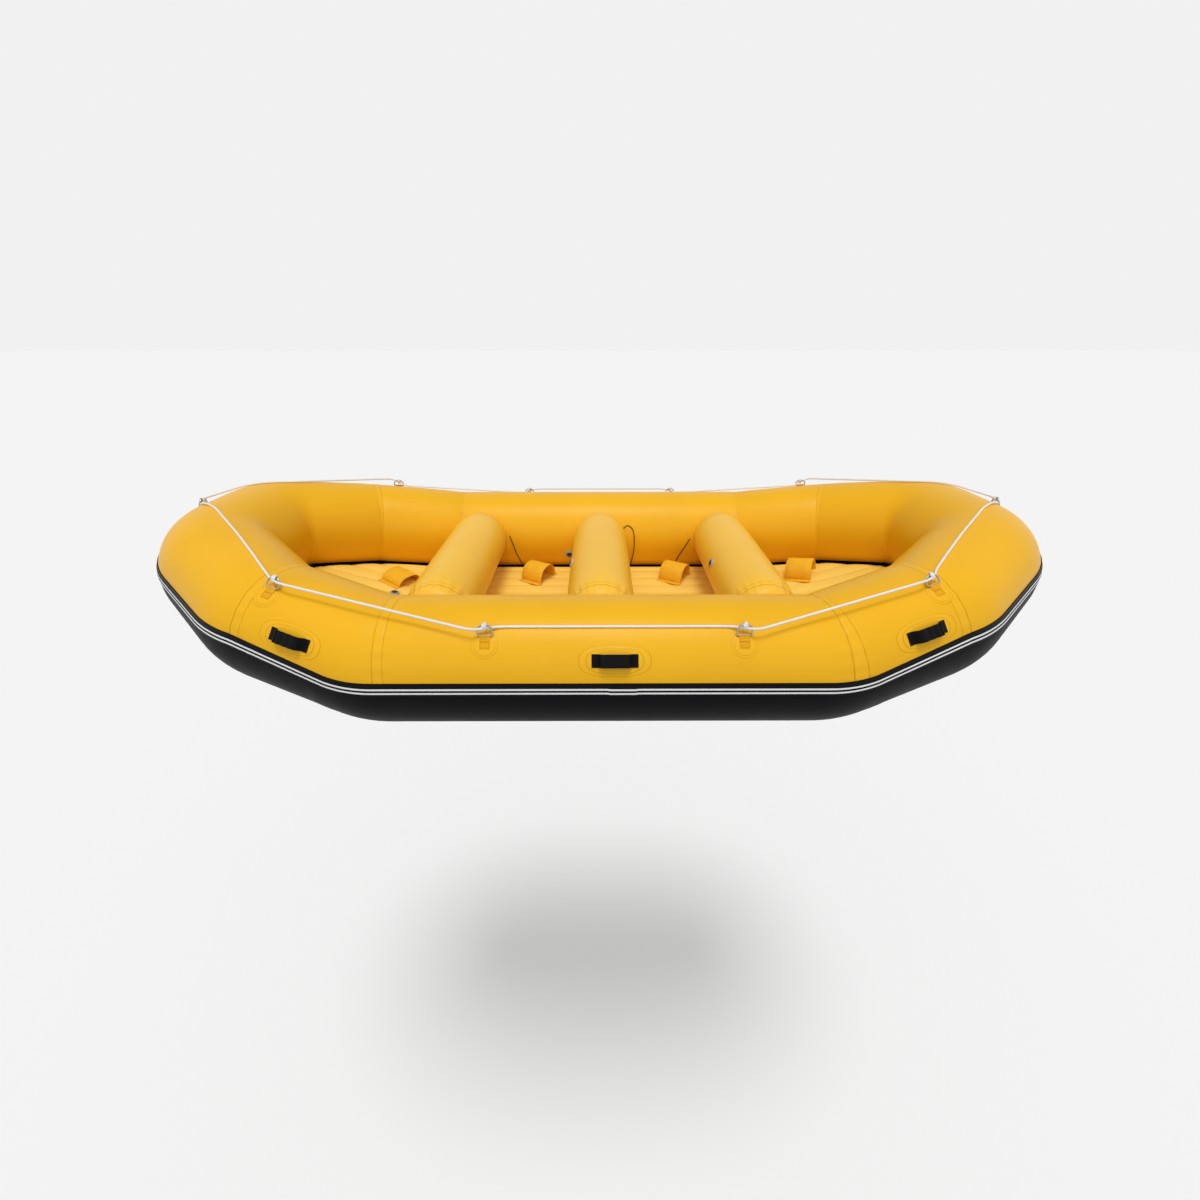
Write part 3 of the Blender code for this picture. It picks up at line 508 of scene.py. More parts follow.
def handle_places():
    leg = (CORNERS[1] - CORNERS[0]).length
    near = corner_cut(0) + HANDLE_FROM_SHOULDER
    far = leg - corner_cut(1) - corner_cut(0) - HANDLE_FROM_SHOULDER
    return (
        ("starboard_mid", side_place(FITTING_SHIFT, -1)),
        ("starboard_bow", along_leg(0, near + HANDLE_SHIFT)),
        ("port_bow", along_leg(4, corner_cut(1) + far)),
        ("port_mid", side_place(0, 1)),
        ("port_stern", along_leg(6, near)),
        ("starboard_stern", along_leg(10, corner_cut(1) + far + HANDLE_SHIFT)),
    )


def ring_frame(u, facet):
    """A ring's own axes, X along its bar and Y towards its top."""
    return facet_frame(u, facet, BAR_RISE, BAR_LIFT) @ Matrix.Rotation(math.radians(RING_STAND), 4, "X")


# Materials


def node(tree, kind, inputs, **values):
    """A shader node with its properties set, and its inputs linked or set."""
    made = tree.nodes.new("ShaderNode" + kind)
    for key, value in values.items():
        setattr(made, key, value)
    for key, value in inputs.items():
        if isinstance(value, bpy.types.NodeSocket):
            tree.links.new(value, made.inputs[key])
        else:
            made.inputs[key].default_value = value
    return made


def noise(tree, scale, detail):
    where = node(tree, "TexCoord", {}).outputs["Object"]
    return node(tree, "TexNoise", {"Vector": where, "Scale": scale, "Detail": detail}).outputs["Fac"]


def waves(tree, scale, direction):
    """Bands across a direction of the piece's own flat coordinates, which are in metres."""
    where = node(tree, "TexCoord", {}).outputs["UV"]
    return node(tree, "TexWave", {"Vector": where, "Scale": scale}, bands_direction=direction).outputs["Fac"]


def material(name, colour, roughness, specular, bumps, shades=None, grain=None, metallic=0.0):
    """A material whose colour and roughness wander a little, under layers of bumps.

    Shades are a noise's scale and detail and the darker and lighter share of the colour, grain is a noise's
    scale and detail and what the roughness loses and gains. A bump is a texture, its scale, its detail or
    direction, and its height in metres.
    """
    made = bpy.data.materials.new(name)
    made.use_nodes = True
    tree = made.node_tree
    shader = tree.nodes["Principled BSDF"].inputs
    shader["Base Color"].default_value = (*colour, 1)
    shader["Roughness"].default_value = roughness
    shader["Metallic"].default_value = metallic
    shader["Specular IOR Level"].default_value = specular
    if shades:
        ramp = node(tree, "ValToRGB", {"Fac": noise(tree, *shades[:2])})
        for stop, place, share in zip(ramp.color_ramp.elements, (0.3, 0.7), shades[2:]):
            stop.position = place
            stop.color = (*(min(1, c * share) for c in colour), 1)
        tree.links.new(ramp.outputs["Color"], shader["Base Color"])
    if grain:
        low, high = roughness - grain[2], roughness + grain[3]
        inputs = {"Value": noise(tree, *grain[:2]), "To Min": low, "To Max": high}
        tree.links.new(node(tree, "MapRange", inputs).outputs["Result"], shader["Roughness"])
    layer = {"Strength": 1.0}
    for texture, scale, kind, height in bumps:
        made_bump = node(tree, "Bump", {**layer, "Distance": height, "Height": texture(tree, scale, kind)})
        layer["Normal"] = made_bump.outputs["Normal"]
    tree.links.new(layer["Normal"], shader["Normal"])
    return made


def coated_fabric(name, colour, roughness, specular, variation=0.03):
    """Coated boat fabric: a satin face over a fine cloth that just shows."""
    bumps = ((noise, 22.0, 2.0, 0.0006), (noise, 850.0, 1.0, 0.00005))
    shades = (3.0, 3.0, 1 - variation, 1 + variation)
    return material(name, colour, roughness, specular, bumps, shades, (11.0, 4.0, 0.05, 0.06))


def webbing(name, colour, roughness, ribs, specular):
    """Woven strap: ribs along the strap crossed by the weft."""
    bumps = ((waves, ribs, "Y", 0.00035), (waves, ribs * 1.4, "X", 0.0002))
    return material(name, colour, roughness, specular, bumps, (40.0, 3.0, 0.96, 1.04))


def plastic(name, colour, roughness, specular=0.5):
    bumps, grain = ((noise, 1200.0, 2.0, 0.00003),), (90.0, 2.0, 0.04, 0.05)
    return material(name, colour, roughness, specular, bumps, (60.0, 2.0, 0.95, 1.05), grain)


def braid(name, colour):
    """Braided rope: strands that cross both ways round it."""
    bumps = ((waves, 50.0, "DIAGONAL", 0.0006), (noise, 900.0, 2.0, 0.0002))
    return material(name, colour, 0.75, 0.5, bumps, (60.0, 2.0, 0.93, 1))


HULL = coated_fabric("hull_fabric", (0.90, 0.475, 0.010), 0.36, 0.18)
SEAM = coated_fabric("seam_fabric", (0.91, 0.485, 0.012), 0.34, 0.18, 0.015)
# Painted shade: a darker fabric on the edges of laps and patches, where their steps fall in shade; it is also
# the stitching thread's own colour.
EDGE_SHADE_AND_THREAD = coated_fabric("painted_edge_shade_and_thread", (0.72, 0.33, 0.003), 0.42, 0.14, 0.015)
THWART_FABRIC = coated_fabric("thwart_fabric", (0.97, 0.56, 0.045), 0.36, 0.25)
FLOOR_FABRIC = coated_fabric("floor_fabric", (0.98, 0.66, 0.12), 0.46, 0.25)
CHARCOAL = coated_fabric("wear_fabric", (0.0048, 0.0049, 0.006), 0.48, 0.055, 0.06)
FLANGE_BLACK = coated_fabric("flange_fabric", (0.003, 0.003, 0.004), 0.6, 0.03, 0.06)
STRAKE_BLACK = plastic("strake_rubber", (0.004, 0.004, 0.005), 0.42, 0.08)
STRAKE_WHITE = plastic("strake_white", (0.93, 0.93, 0.93), 0.45)
LOOP_WEBBING = webbing("loop_webbing", (0.94, 0.50, 0.02), 0.6, 120.0, 0.2)
TAB_WEBBING = webbing("tab_webbing", (0.88, 0.42, 0.004), 0.5, 160.0, 0.2)
HANDLE_WEBBING_BLACK = webbing("handle_webbing", (0.003, 0.003, 0.0035), 0.40, 180.0, 0.10)
STEEL = material("ring_steel", (0.42, 0.42, 0.43), 0.22, 0.5, ((noise, 400.0, 2.0, 0.00003),),
                 grain=(220.0, 3.0, 0.06, 0.08), metallic=1.0)
VALVE_GREY = plastic("valve_grey", (0.42, 0.43, 0.44), 0.35)
VALVE_DARK = plastic("valve_dark", (0.03, 0.03, 0.035), 0.4)
ROPE_WHITE = braid("rope_white", (0.90, 0.90, 0.90))
CORD_BLACK = braid("cord_black", (0.003, 0.003, 0.0035))


# Mesh helpers


def add_piece(name, verts, faces, surfaces, uvs=None, slots=None, crease=None):
    mesh = bpy.data.meshes.new(name)
    mesh.from_pydata([tuple(v) for v in verts], [], faces)
    if uvs is not None:
        layer = mesh.uv_layers.new(name="flat")
        layer.data.foreach_set("uv", np.asarray(uvs, np.float32).ravel())
    mesh.shade_smooth()
    if crease:
        mesh.set_sharp_from_angle(angle=math.radians(crease))
    for surface in surfaces if isinstance(surfaces, list) else [surfaces]:
        mesh.materials.append(surface)
    if slots:
        mesh.polygons.foreach_set("material_index", slots)
    mesh.update()
    made = bpy.data.objects.new(name, mesh)
    bpy.context.scene.collection.objects.link(made)
    return made


def grid(name, points, surfaces, uvs=None, around=False, capped=False, column_slots=None, row_slots=None,
         crease=None):
    """A sheet of quads through rows and columns of points, closed round its columns or capped if asked."""
    points = np.array([[tuple(p) for p in row] for row in points])
    rows, columns = points.shape[:2]
    faces, flat, slots = [], [], []
    for i in range(rows - 1):
        for j in range(columns if around else columns - 1):
            k = (j + 1) % columns
            faces.append((i * columns + j, (i + 1) * columns + j, (i + 1) * columns + k, i * columns + k))
            if uvs is not None:
                flat += [uvs[i, j], uvs[i + 1, j], uvs[i + 1, j + 1], uvs[i, j + 1]]
            if column_slots:
                slots.append(column_slots[j])
            if row_slots:
                slots.append(row_slots[i])
    if capped:
        last = (rows - 1) * columns
        faces += [tuple(range(columns)), tuple(last + k for k in reversed(range(columns)))]
        flat += [(0.0, 0.0)] * (2 * columns)
    return add_piece(name, points.reshape(-1, 3), faces, surfaces, flat or None, slots, crease)


def flat_places(lengths, across):
    """Flat coordinates in metres for rows at given lengths and columns at given places across."""
    return np.stack(np.broadcast_arrays(np.array(lengths)[:, None], np.array(across)[None]), axis=-1)


def wrapped(name, us, angles, lifts, surfaces, full=False, column_slots=None, crease=None):
    """A sheet laid on the round tube, with flat coordinates in metres."""
    angles = np.broadcast_to(angles, (len(us), np.shape(angles)[-1]))
    arcs = np.radians(angles) * ROUND_RADIUS
    if full:
        arcs = np.concatenate([arcs, arcs[:, :1] + math.tau * ROUND_RADIUS], axis=1)
    uvs = np.stack([np.broadcast_to(us[:, None], arcs.shape), arcs], axis=-1)
    made = grid(name, wrap(us, angles, lifts), surfaces, uvs, full, column_slots=column_slots, crease=crease)
    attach(made, "raft")
    return made


def laid(u, angle, x, y, lift):
    """A point on the round tube, X along it and Y round it from a place, at a lift off it."""
    return wrap([u + x], [angle + math.degrees(y / ROUND_RADIUS)], [[lift]])[0, 0]


def eased(distance, reach, edge):
    """1 inside a reach, falling smoothly to 0 over its edge."""
    share = np.clip((reach - np.abs(distance)) / edge, 0, 1)
    return share * share * (3 - 2 * share)


def spread(start, end, step):
    return np.linspace(start, end, max(2, int(math.ceil(abs(end - start) / step)) + 1))


def arc(x, y, radius, start, end, count):
    return [(x + radius * math.cos(t), y + radius * math.sin(t)) for t in np.linspace(start, end, count)]


def tube(name, path, radius, sides, surface, closed=False):
    """A round tube along a path, its rings turned as little as they can be."""
    points = [Vector(p) for p in path]
    count = len(points)
    turns = [math.tau * j / sides for j in range(sides)]
    tangents = []
    for k in range(count):
        before = points[k - 1] if closed or k else points[0]
        after = points[(k + 1) % count] if closed or k < count - 1 else points[-1]
        tangents.append((after - before).normalized())
    side = tangents[0].orthogonal().normalized()
    rings, lengths, run = [], [], 0.0
    for k, (point, tangent) in enumerate(zip(points, tangents)):
        if k:
            side = (tangents[k - 1].rotation_difference(tangent) @ side).normalized()
            run += (point - points[k - 1]).length
        across = tangent.cross(side)
        rings.append([point + (side * math.cos(t) + across * math.sin(t)) * radius for t in turns])
        lengths.append(run)
    if closed:
        rings.append(rings[0])
        lengths.append(run + (points[0] - points[-1]).length)
    uvs = flat_places(lengths, np.arange(sides + 1) * math.tau / sides * radius)
    return grid(name, rings, surface, uvs, around=True, capped=not closed)


def strap(name, matrix, path, width, thickness, surface, body="raft"):
    """Webbing along a path in a frame's X and Z, its width on Y, its edges a little rounded."""
    points = np.array(path)
    edge = thickness * STRAP_EDGE_SHARE
    half = width / 2
    ys = (-half + edge, -half / 2, 0, half / 2, half - edge)
    section = [(y, 0) for y in ys] + [(half, edge), (half, thickness - edge)]
    section += [(y, thickness) for y in reversed(ys)] + [(-half, thickness - edge), (-half, edge)]
    rows, lengths, run = [], [], 0.0
    for k, point in enumerate(points):
        tangent = points[min(k + 1, len(points) - 1)] - points[max(k - 1, 0)]
        tangent = tangent / np.linalg.norm(tangent)
        normal = np.array([-tangent[1], tangent[0]])
        run += np.linalg.norm(point - points[k - 1]) if k else 0
        row = []
        for y, rise in section:
            x, z = point + normal * rise
            row.append(matrix @ Vector((x, y, z)))
        rows.append(row[::-1])
        lengths.append(run)
    uvs = flat_places(lengths, [y for y, _ in section + section[:1]])[:, ::-1]
    made = grid(name, rows, surface, uvs, around=True, capped=True, crease=50)
    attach(made, body)
    return made


def turned(name, matrix, profile, surfaces, body="raft", row_slots=None):
    """A round piece about a frame's Z, from radii and heights."""
    turns = np.linspace(0, math.tau, 48, endpoint=False)
    rows = [[matrix @ Vector((radius * math.cos(t), radius * math.sin(t), height)) for t in turns]
            for radius, height in profile]
    made = grid(name, rows, surfaces, around=True, row_slots=row_slots, crease=40)
    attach(made, body)
    return made


# Camera


def add_camera():
    data = bpy.data.cameras.new("camera")
    data.lens = CAMERA_LENS
    data.sensor_width = SENSOR
    data.clip_end = CAMERA_REACH
    made = bpy.data.objects.new("camera", data)
    made.location = CAMERA_PLACE
    made.rotation_euler = (math.radians(90 - CAMERA_PITCH), 0, math.radians(-CAMERA_YAW))
    bpy.context.scene.collection.objects.link(made)
    bpy.context.scene.camera = made


# Rope and cords


def smooth(points, count_between):
    """Points read from a smooth curve through the given ones, by how many each span is to have."""
    padded = [points[0] * 2 - points[1], *points, points[-1] * 2 - points[-2]]
    path = []
    for a, b, c, d in zip(padded, padded[1:], padded[2:], padded[3:]):
        knots = [0.0]
        for first, second in ((a, b), (b, c), (c, d)):
            knots.append(knots[-1] + math.sqrt((second - first).length))
        count = count_between((c - b).length)
        for j in range(count):
            t = knots[1] + (knots[2] - knots[1]) * j / count
            spans = zip((a, b, c), (b, c, d), knots, knots[1:])
            first = [p.lerp(q, (t - k) / (m - k)) for p, q, k, m in spans]
            spans = zip(first, first[1:], knots, knots[2:])
            second = [p.lerp(q, (t - k) / (m - k)) for p, q, k, m in spans]
            path.append(second[0].lerp(second[1], (t - knots[1]) / (knots[2] - knots[1])))
    return path + [points[-1]]


RING_EYES = []  # where the rope passes through each ring


def through_ring(u, facet, enter):
    matrix = ring_frame(u, facet)
    RING_EYES.append(matrix @ Vector((0, ROPE_THROUGH, 0)))
    aside = enter * (ROPE_ASIDE + ROPE_EASED_IN)
    places = ((-ROPE_CLEAR, aside), (0, 0), (ROPE_CLEAR, -aside))
    return [matrix @ Vector((along, ROPE_THROUGH, beside)) for along, beside in places]


def rope_route():
    """The safety rope's own points, once round the raft from the stern ring and back to it."""
    before, knot, after = through_ring(*ring_places()[0][1:], 1)
    share = ROPE_TAIL / ROPE_CLEAR
    lifted = TUBE_RADIUS + ROPE_RADIUS + 2 * GAP
    route = [knot.lerp(after, share), after]
    for k, ((_, u, facet), rests) in enumerate(zip(ring_places(), ROPE_RESTS)):
        if k:
            route += through_ring(u, facet, 1 - k % 2 * 2)
        route += [corner_point(place, angle, lifted) for place, angle in rests]
    return route + [before, knot.lerp(before, share)]


def clear_of_tube(points, lift):
    """Points moved straight out of the round tube until they lie a lift off it."""
    line = np.array([list(place_on_line(u)[0]) for u in spread(0, AROUND, LINE_STEP)])
    gaps = np.linalg.norm(points[:, None] - line[None], axis=2)
    centre = line[gaps.argmin(axis=1)]
    distance = gaps.min(axis=1)[:, None]
    return centre + (points - centre) * np.maximum(1, (ROUND_RADIUS + lift) / distance)


def taut_path(route):
    """The rope's line: straight from bend to bend, eased at each and lying on the tube."""
    eyes = {k for k in range(len(route)) if k in (0, len(route) - 1)}
    eyes |= {k for k in range(1, len(route) - 1) if route[k] in RING_EYES}
    dense, held = [], []
    for k, (a, b) in enumerate(zip(route, route[1:])):
        count = max(1, math.ceil((b - a).length / ROPE_STEP))
        if k in eyes:
            held.append(len(dense))
        dense += [a.lerp(b, j / count) for j in range(count)]
    held.append(len(dense))
    points = np.array([list(p) for p in [*dense, route[-1]]])
    kept = points[held]
    for _ in range(ROPE_EASE):
        points[1:-1] = points[1:-1] / 2 + (points[:-2] + points[2:]) / 4
        points[held] = kept
    return [Vector(p) for p in clear_of_tube(points, ROPE_RADIUS + GAP)]


def safety_rope():
    path = taut_path(rope_route())
    made = tube("rope_round_raft", path, ROPE_RADIUS, 12, ROPE_WHITE)
    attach(made, "raft")
    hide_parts("safety_rope")


def knot(name, u, facet):
    """A small hitch that holds the rope to the top of its ring."""
    matrix = ring_frame(u, facet)
    middle = (ROPE_THROUGH + RING_POST + RING_HALF_WIDTH) / 2
    reach = (RING_POST + RING_HALF_WIDTH - ROPE_THROUGH) / 2 + WIRE_RADIUS + KNOT_ROOM
    path = []
    for share in np.linspace(0, 1, KNOT_POINTS + 1):
        turn = math.tau * KNOT_TURNS * share + KNOT_START
        swell = 1 + KNOT_SWELL * math.sin(math.pi * share)
        up = middle + reach * swell * math.cos(turn)
        path.append(matrix @ Vector(((share - 0.5) * KNOT_LENGTH, up, KNOT_DEPTH * swell * math.sin(turn))))
    path.append(path[-1] + (path[-1] - path[-2]).normalized() * KNOT_TAIL)
    made = tube("rope_knot_" + name, path, KNOT_RADIUS, 8, ROPE_WHITE)
    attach(made, "d_ring_" + name)


def side_station(x):
    """The CAD station on the port tube that lies at X."""
    first, second = CENTRES[11].x, CENTRES[12].x
    return 11 + (x - first) / (second - first)


def tie_cord(name, places):
    flat = [Vector((x, math.radians(angle) * TUBE_RADIUS, 0)) for x, angle in places]
    path = []
    for point in smooth(flat, lambda length: math.ceil(length / TIE_STEP)):
        angle = math.degrees(point.y / TUBE_RADIUS)
        path.append(surface_point(side_station(point.x), angle, TIE_REST))
    made = tube("tie_" + name, path, TIE_RADIUS, 8, CORD_BLACK)
    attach(made, "raft")
    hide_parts("tie_cord_" + name)


# The tube ring


PANELS = (
    ("side_tube_starboard", 11, 12),
    ("shoulder_tube_starboard_bow", 0, 1),
    ("bow_tube", 1, 4),
    ("shoulder_tube_port_bow", 4, 5),
    ("side_tube_port", 5, 6),
    ("shoulder_tube_port_stern", 6, 7),
    ("stern_tube", 7, 10),
    ("shoulder_tube_starboard_stern", 10, 11),
)
SEAMS = (
    ("starboard_bow_shoulder", 0),
    ("starboard_bow_quarter", 1),
    ("port_bow_quarter", 4),
    ("port_bow_shoulder", 5),
    ("port_stern_shoulder", 6),
    ("port_stern_quarter", 7),
    ("starboard_stern_quarter", 10),
    ("starboard_stern_shoulder", 11),
)
BAFFLES = {
    "side_tube_starboard": ("baffle_starboard_stern", "baffle_starboard_bow"),
    "side_tube_port": ("baffle_port_bow", "baffle_port_stern"),
}


def seam_place(corner):
    """Where a seam lies along the line: near the middle of its corner."""
    return corner_middle(corner) + SEAM_SHIFTS.get(corner, 0.0)


def drawn_in(distance, angles):
    """How far the tube is drawn in beside a seam, with the small puckers of the glued lap."""
    distance = np.asarray(distance)[:, None]
    turns = np.radians(angles)[None]
    ripple = np.cos(PUCKERS * turns + PUCKER_SWAY * np.sin(3 * turns))
    pucker = ripple * np.clip(np.sin(turns) + PUCKER_UNDER, 0, 1)
    pinch = -TAPE_PINCH * np.exp(-(distance / PINCH_REACH) ** 2)
    return pinch + PUCKER_RISE * pucker * np.exp(-(distance / PUCKER_REACH) ** 2)


def tube_panel(name, start, end):
    first, last = seam_place(start), seam_place(end)
    us = spread(first, last, ROW_STEP)
    near = np.minimum(np.abs(us - first), np.abs(us - last))
    made = wrapped("skin_of_" + name, us, COLUMN_ANGLES, drawn_in(near, COLUMN_ANGLES), HULL, full=True)
    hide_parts(name, *BAFFLES.get(name, ()))


def seam_tape(name, u):
    """The glued lap round the tube: a low band with a fine line of painted shade along each edge."""
    half, edge, line = TAPE_HALF, TAPE_EDGE, SEAM_LINE / 2
    left = np.array([-half, -half + edge / 2, -half + edge, -half / 2])
    band = np.concatenate([left, [0], -left[::-1]])
    slope = np.array([-TAPE_SUNK, SEAM_LINE_RISE, SEAM_LINE_RISE])
    strips = (
        ("seam_" + name, band, TAPE_RISE * eased(band, half, edge) - TAPE_SUNK, SEAM),
        # the two fine lines of painted shade at the lap's edges
        (f"seam_shade_line_{name}_a", -half - line + np.array([-line, 0, line]), slope, EDGE_SHADE_AND_THREAD),
        (f"seam_shade_line_{name}_b", half + line + np.array([-line, 0, line]), slope[::-1], EDGE_SHADE_AND_THREAD),
    )
    for strip, offsets, rise, surface in strips:
        lifts = rise[:, None] + drawn_in(offsets, COLUMN_ANGLES)
        made = wrapped(strip, u + offsets, COLUMN_ANGLES, lifts, surface, full=True)


def strake_low(u):
    """The strake's lower edge as an angle, from its height at the corners."""
    knots, values = [], []
    for k in range(-1, SPANS + 1):
        corner = k % SPANS
        shift = AROUND * ((k - corner) // SPANS)
        place = corner % 6
        height = STRAKE_ANGLES[min(place, 5 - place)]
        middle = corner_middle(corner) + shift
        chord_roll = math.degrees(math.asin(place_on_line(middle)[2].z))
        for side, leg in ((-1, corner - 1), (1, corner)):
            leg_roll = math.degrees(math.asin(SPAN_AXES[leg][1].z))
            knots.append(middle + side * corner_cut(corner))
            values.append(height - (leg_roll + chord_roll) / 2)
    return np.interp(u, knots, values)


def wear_skin(name, first, last):
    us = spread(first, last, SKIN_ROW_STEP)
    low = strake_low(us % AROUND)[:, None] + SKIN_UNDER
    angles = low + (SKIN_LOW_ANGLE - low) * SKIN_SHARES
    rise = SKIN * eased(SKIN_SHARES - 0.5, 0.5, SKIN_EDGE_SHARE)
    lap = eased(us - first, SKIN_LAP, SKIN_LAP_EDGE) + eased(us - last, SKIN_LAP, SKIN_LAP_EDGE)
    lifts = rise + SKIN_LAP_RISE * lap[:, None] * (rise > 0)
    made = wrapped(name + "_sheet", us, angles[:, ::-1], lifts[:, ::-1], CHARCOAL)
    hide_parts(name)


def wear_skins():
    leg = (CORNERS[1] - CORNERS[0]).length
    first = along_leg(0, corner_cut(0) + SKIN_SEAM)
    last = along_leg(4, leg - corner_cut(5) - SKIN_SEAM)
    half = AROUND / 2
    wear_skin("wear_skin_bow", first, last)
    wear_skin("wear_skin_port", last, first + half)
    wear_skin("wear_skin_stern", first + half, last + half)
    wear_skin("wear_skin_starboard", last - half, first)


def rub_strake():
    """The rubber strip round the ring, with two white ribs and one lapped joint."""
    us = spread(0, AROUND, STRAKE_ROW_STEP)
    angles = strake_low(us % AROUND)[:, None] + STRAKE_SPAN * STRAKE_SHARES
    base = STRAKE_BASE * np.sqrt(eased(STRAKE_SHARES - 0.5, 0.5, STRAKE_ROUND_SHARE))
    white = [any(a <= share <= b for a, b in WHITE_SHARES) for share in STRAKE_SHARES]
    first, last = (side_place(x, -1) for x in STRAKE_JOINT)
    lap = eased(us - (first + last) / 2, (last - first) / 2, STRAKE_JOINT_EDGE)
    lifts = np.where(white, STRAKE_RIB, base) + STRAKE_JOINT_RISE * lap[:, None] * (base > 0)
    slots = [int(a and b) for a, b in zip(white, white[1:])]
    surfaces = [STRAKE_BLACK, STRAKE_WHITE]
    made = wrapped("strake_strip", us, angles, lifts, surfaces, column_slots=slots, crease=35)
    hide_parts("rub_strake")


def patch(name, u, angle, half_length, half_width):
    """A glued patch of stepped layers, round or oval, the outer band of each step darker as painted shade."""
    radii = [0, 0.3, 0.6]
    lifts = [PATCH_RISE * PATCH_LAYERS] * len(radii)
    for layer in range(PATCH_LAYERS, 0, -1):
        outer = 1 - (layer - 1) * PATCH_STEP_SHARE
        inner = outer - PATCH_EDGE / min(half_length, half_width)
        foot = PATCH_RISE * (layer - 1) - TAPE_SUNK * (layer == 1)
        radii += [inner - PATCH_BEVEL_SHARE, inner + PATCH_BEVEL_SHARE, outer]
        lifts += [PATCH_RISE * layer, PATCH_RISE * layer * 0.98, foot]
    rows = []
    for radius, lift in zip(radii, lifts):
        row = []
        for turn in np.linspace(0, math.tau, PATCH_POINTS, endpoint=False):
            x, y = math.cos(turn), math.sin(turn)
            reach = radius
            if half_length > half_width:
                reach *= (abs(x) ** PATCH_SQUARE + abs(y) ** PATCH_SQUARE) ** (-1 / PATCH_SQUARE)
            row.append(laid(u, angle, half_length * x * reach, half_width * y * reach, lift))
        rows.append(row)
    # the outer band of each step is painted shade
    slots = [0, 0] + [0, 0, 1] * PATCH_LAYERS
    made = grid(name, rows, [SEAM, EDGE_SHADE_AND_THREAD], around=True, row_slots=slots)
    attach(made, "raft")


# Rings, tabs and handles


def tab(name, u, facet):
    """The webbing tab that holds a ring's bar, with its sewn outline."""
    angle = facet * STEP
    rest = PATCH_RISE
    bar = BAR_LIFT - TAB_BAR_DROP
    fold = WIRE_RADIUS + TAB_ROOM
    path = [(-TAB_LENGTH * share, rest) for share in TAB_SHARES] + [(-TAB_NEAR_BAR, rest)]
    flat_count = len(path)
    turns = np.linspace(TAB_FOLD_CUT, math.pi - TAB_FOLD_CUT, 9)
    path += [(fold * math.sin(t), bar - fold * math.cos(t)) for t in turns]
    path.append((TAB_BACK[0], rest + TAB_STRAP * TAB_BACK[1]))
    path.append((-TAB_LENGTH * TAB_BACK_SHARES[0], rest + TAB_STRAP * TAB_BACK_SHARES[1]))
    half = TAB_WIDTH / 2
    section = ((-half, 0), (0, 0), (half, 0), (half, TAB_STRAP), (0, TAB_STRAP), (-half, TAB_STRAP))
    rows = []
    for k, (y, z) in enumerate(path):
        before, after = path[max(k - 1, 0)], path[min(k + 1, len(path) - 1)]
        run = math.dist(before, after)
        out_y, out_z = (after[1] - before[1]) / run, (before[0] - after[0]) / run
        if k < flat_count:
            out_y, out_z = 0, 1
        rows.append([laid(u, angle, x, BAR_RISE + y + out_y * out, z + out_z * out) for x, out in section])
    runs = np.cumsum([0] + [math.dist(a, b) for a, b in zip(path, path[1:])])
    uvs = flat_places(runs, (-half, 0, half, half, 0, -half, -half))
    made = grid(name, rows, TAB_WEBBING, uvs, around=True, crease=50)
    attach(made, "raft")
    stitches(name + "_stitch", u, angle, rest + TAB_STRAP)


def stitches(name, u, angle, lift):
    """A sewn outline as one raised thread round a box on the tab."""
    half = TAB_WIDTH / 2 * STITCH_WIDTH_SHARE
    low, high = (-TAB_LENGTH * share for share in STITCH_SHARES)
    corners = [(-half, low), (half, low), (half, high), (-half, high)]
    path = []
    for (x, y), (next_x, next_y) in zip(corners, corners[1:] + corners[:1]):
        for share in np.linspace(0, 1, 8, endpoint=False):
            across, along = x + (next_x - x) * share, y + (next_y - y) * share
            path.append(laid(u, angle, across, BAR_RISE + along, lift))
    made = tube(name, path, STITCH_RADIUS, 6, EDGE_SHADE_AND_THREAD, closed=True)
    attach(made, "raft")


def d_ring(name, u, facet):
    matrix = ring_frame(u, facet)
    half, bend = RING_HALF_WIDTH, RING_BEND
    turn = math.pi / 2 - RING_BEND_CUT
    path = [(x, 0.0) for x in np.linspace(-half + bend, half - bend, 7)]
    path += arc(half - bend, bend, bend, -turn, 0, 4)
    path += arc(0, RING_POST, half, 0, math.pi, 25)
    path += arc(-half + bend, bend, bend, math.pi, math.pi + turn, 4)
    path = [matrix @ Vector((x, y, 0)) for x, y in path]
    made = tube("ring_wire_" + name, path, WIRE_RADIUS, 12, STEEL, closed=True)
    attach(made, "d_ring_" + name)
    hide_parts("d_ring_" + name)


def rings():
    drop = math.degrees(RING_PATCH_DROP / ROUND_RADIUS)
    for name, u, facet in ring_places():
        patch("ring_patch_" + name, u, facet * STEP - drop, RING_PATCH_RADIUS, RING_PATCH_RADIUS)
        tab("ring_tab_" + name, u, facet)
        d_ring(name, u, facet)
        knot(name, u, facet)


def handle(name, u):
    matrix = facet_frame(u, HANDLE_FACET, 0, HANDLE_LIFT)
    half = HANDLE_LENGTH / 2
    ramp = half - HANDLE_END
    crown = ramp - HANDLE_RAMP
    foot = ROUND_RADIUS - TUBE_RADIUS * FACET_SHARE
    path = []
    for x in np.linspace(-half, half, HANDLE_POINTS):
        z = HANDLE_RISE * eased(x, ramp, HANDLE_RAMP)
        if abs(x) < crown and "mid" not in name:
            z -= HANDLE_DIP * (1 - math.cos(math.tau * HANDLE_DIPS * x / crown)) / 2
        path.append((x, z + foot))
    made = strap("handle_strap_" + name, matrix, path, HANDLE_WEBBING, HANDLE_STRAP, HANDLE_WEBBING_BLACK)
    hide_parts("handle_" + name)
    patch("handle_patch_" + name, u, HANDLE_FACET * STEP, *HANDLE_PATCH)


# Thwarts, floor and foot loops


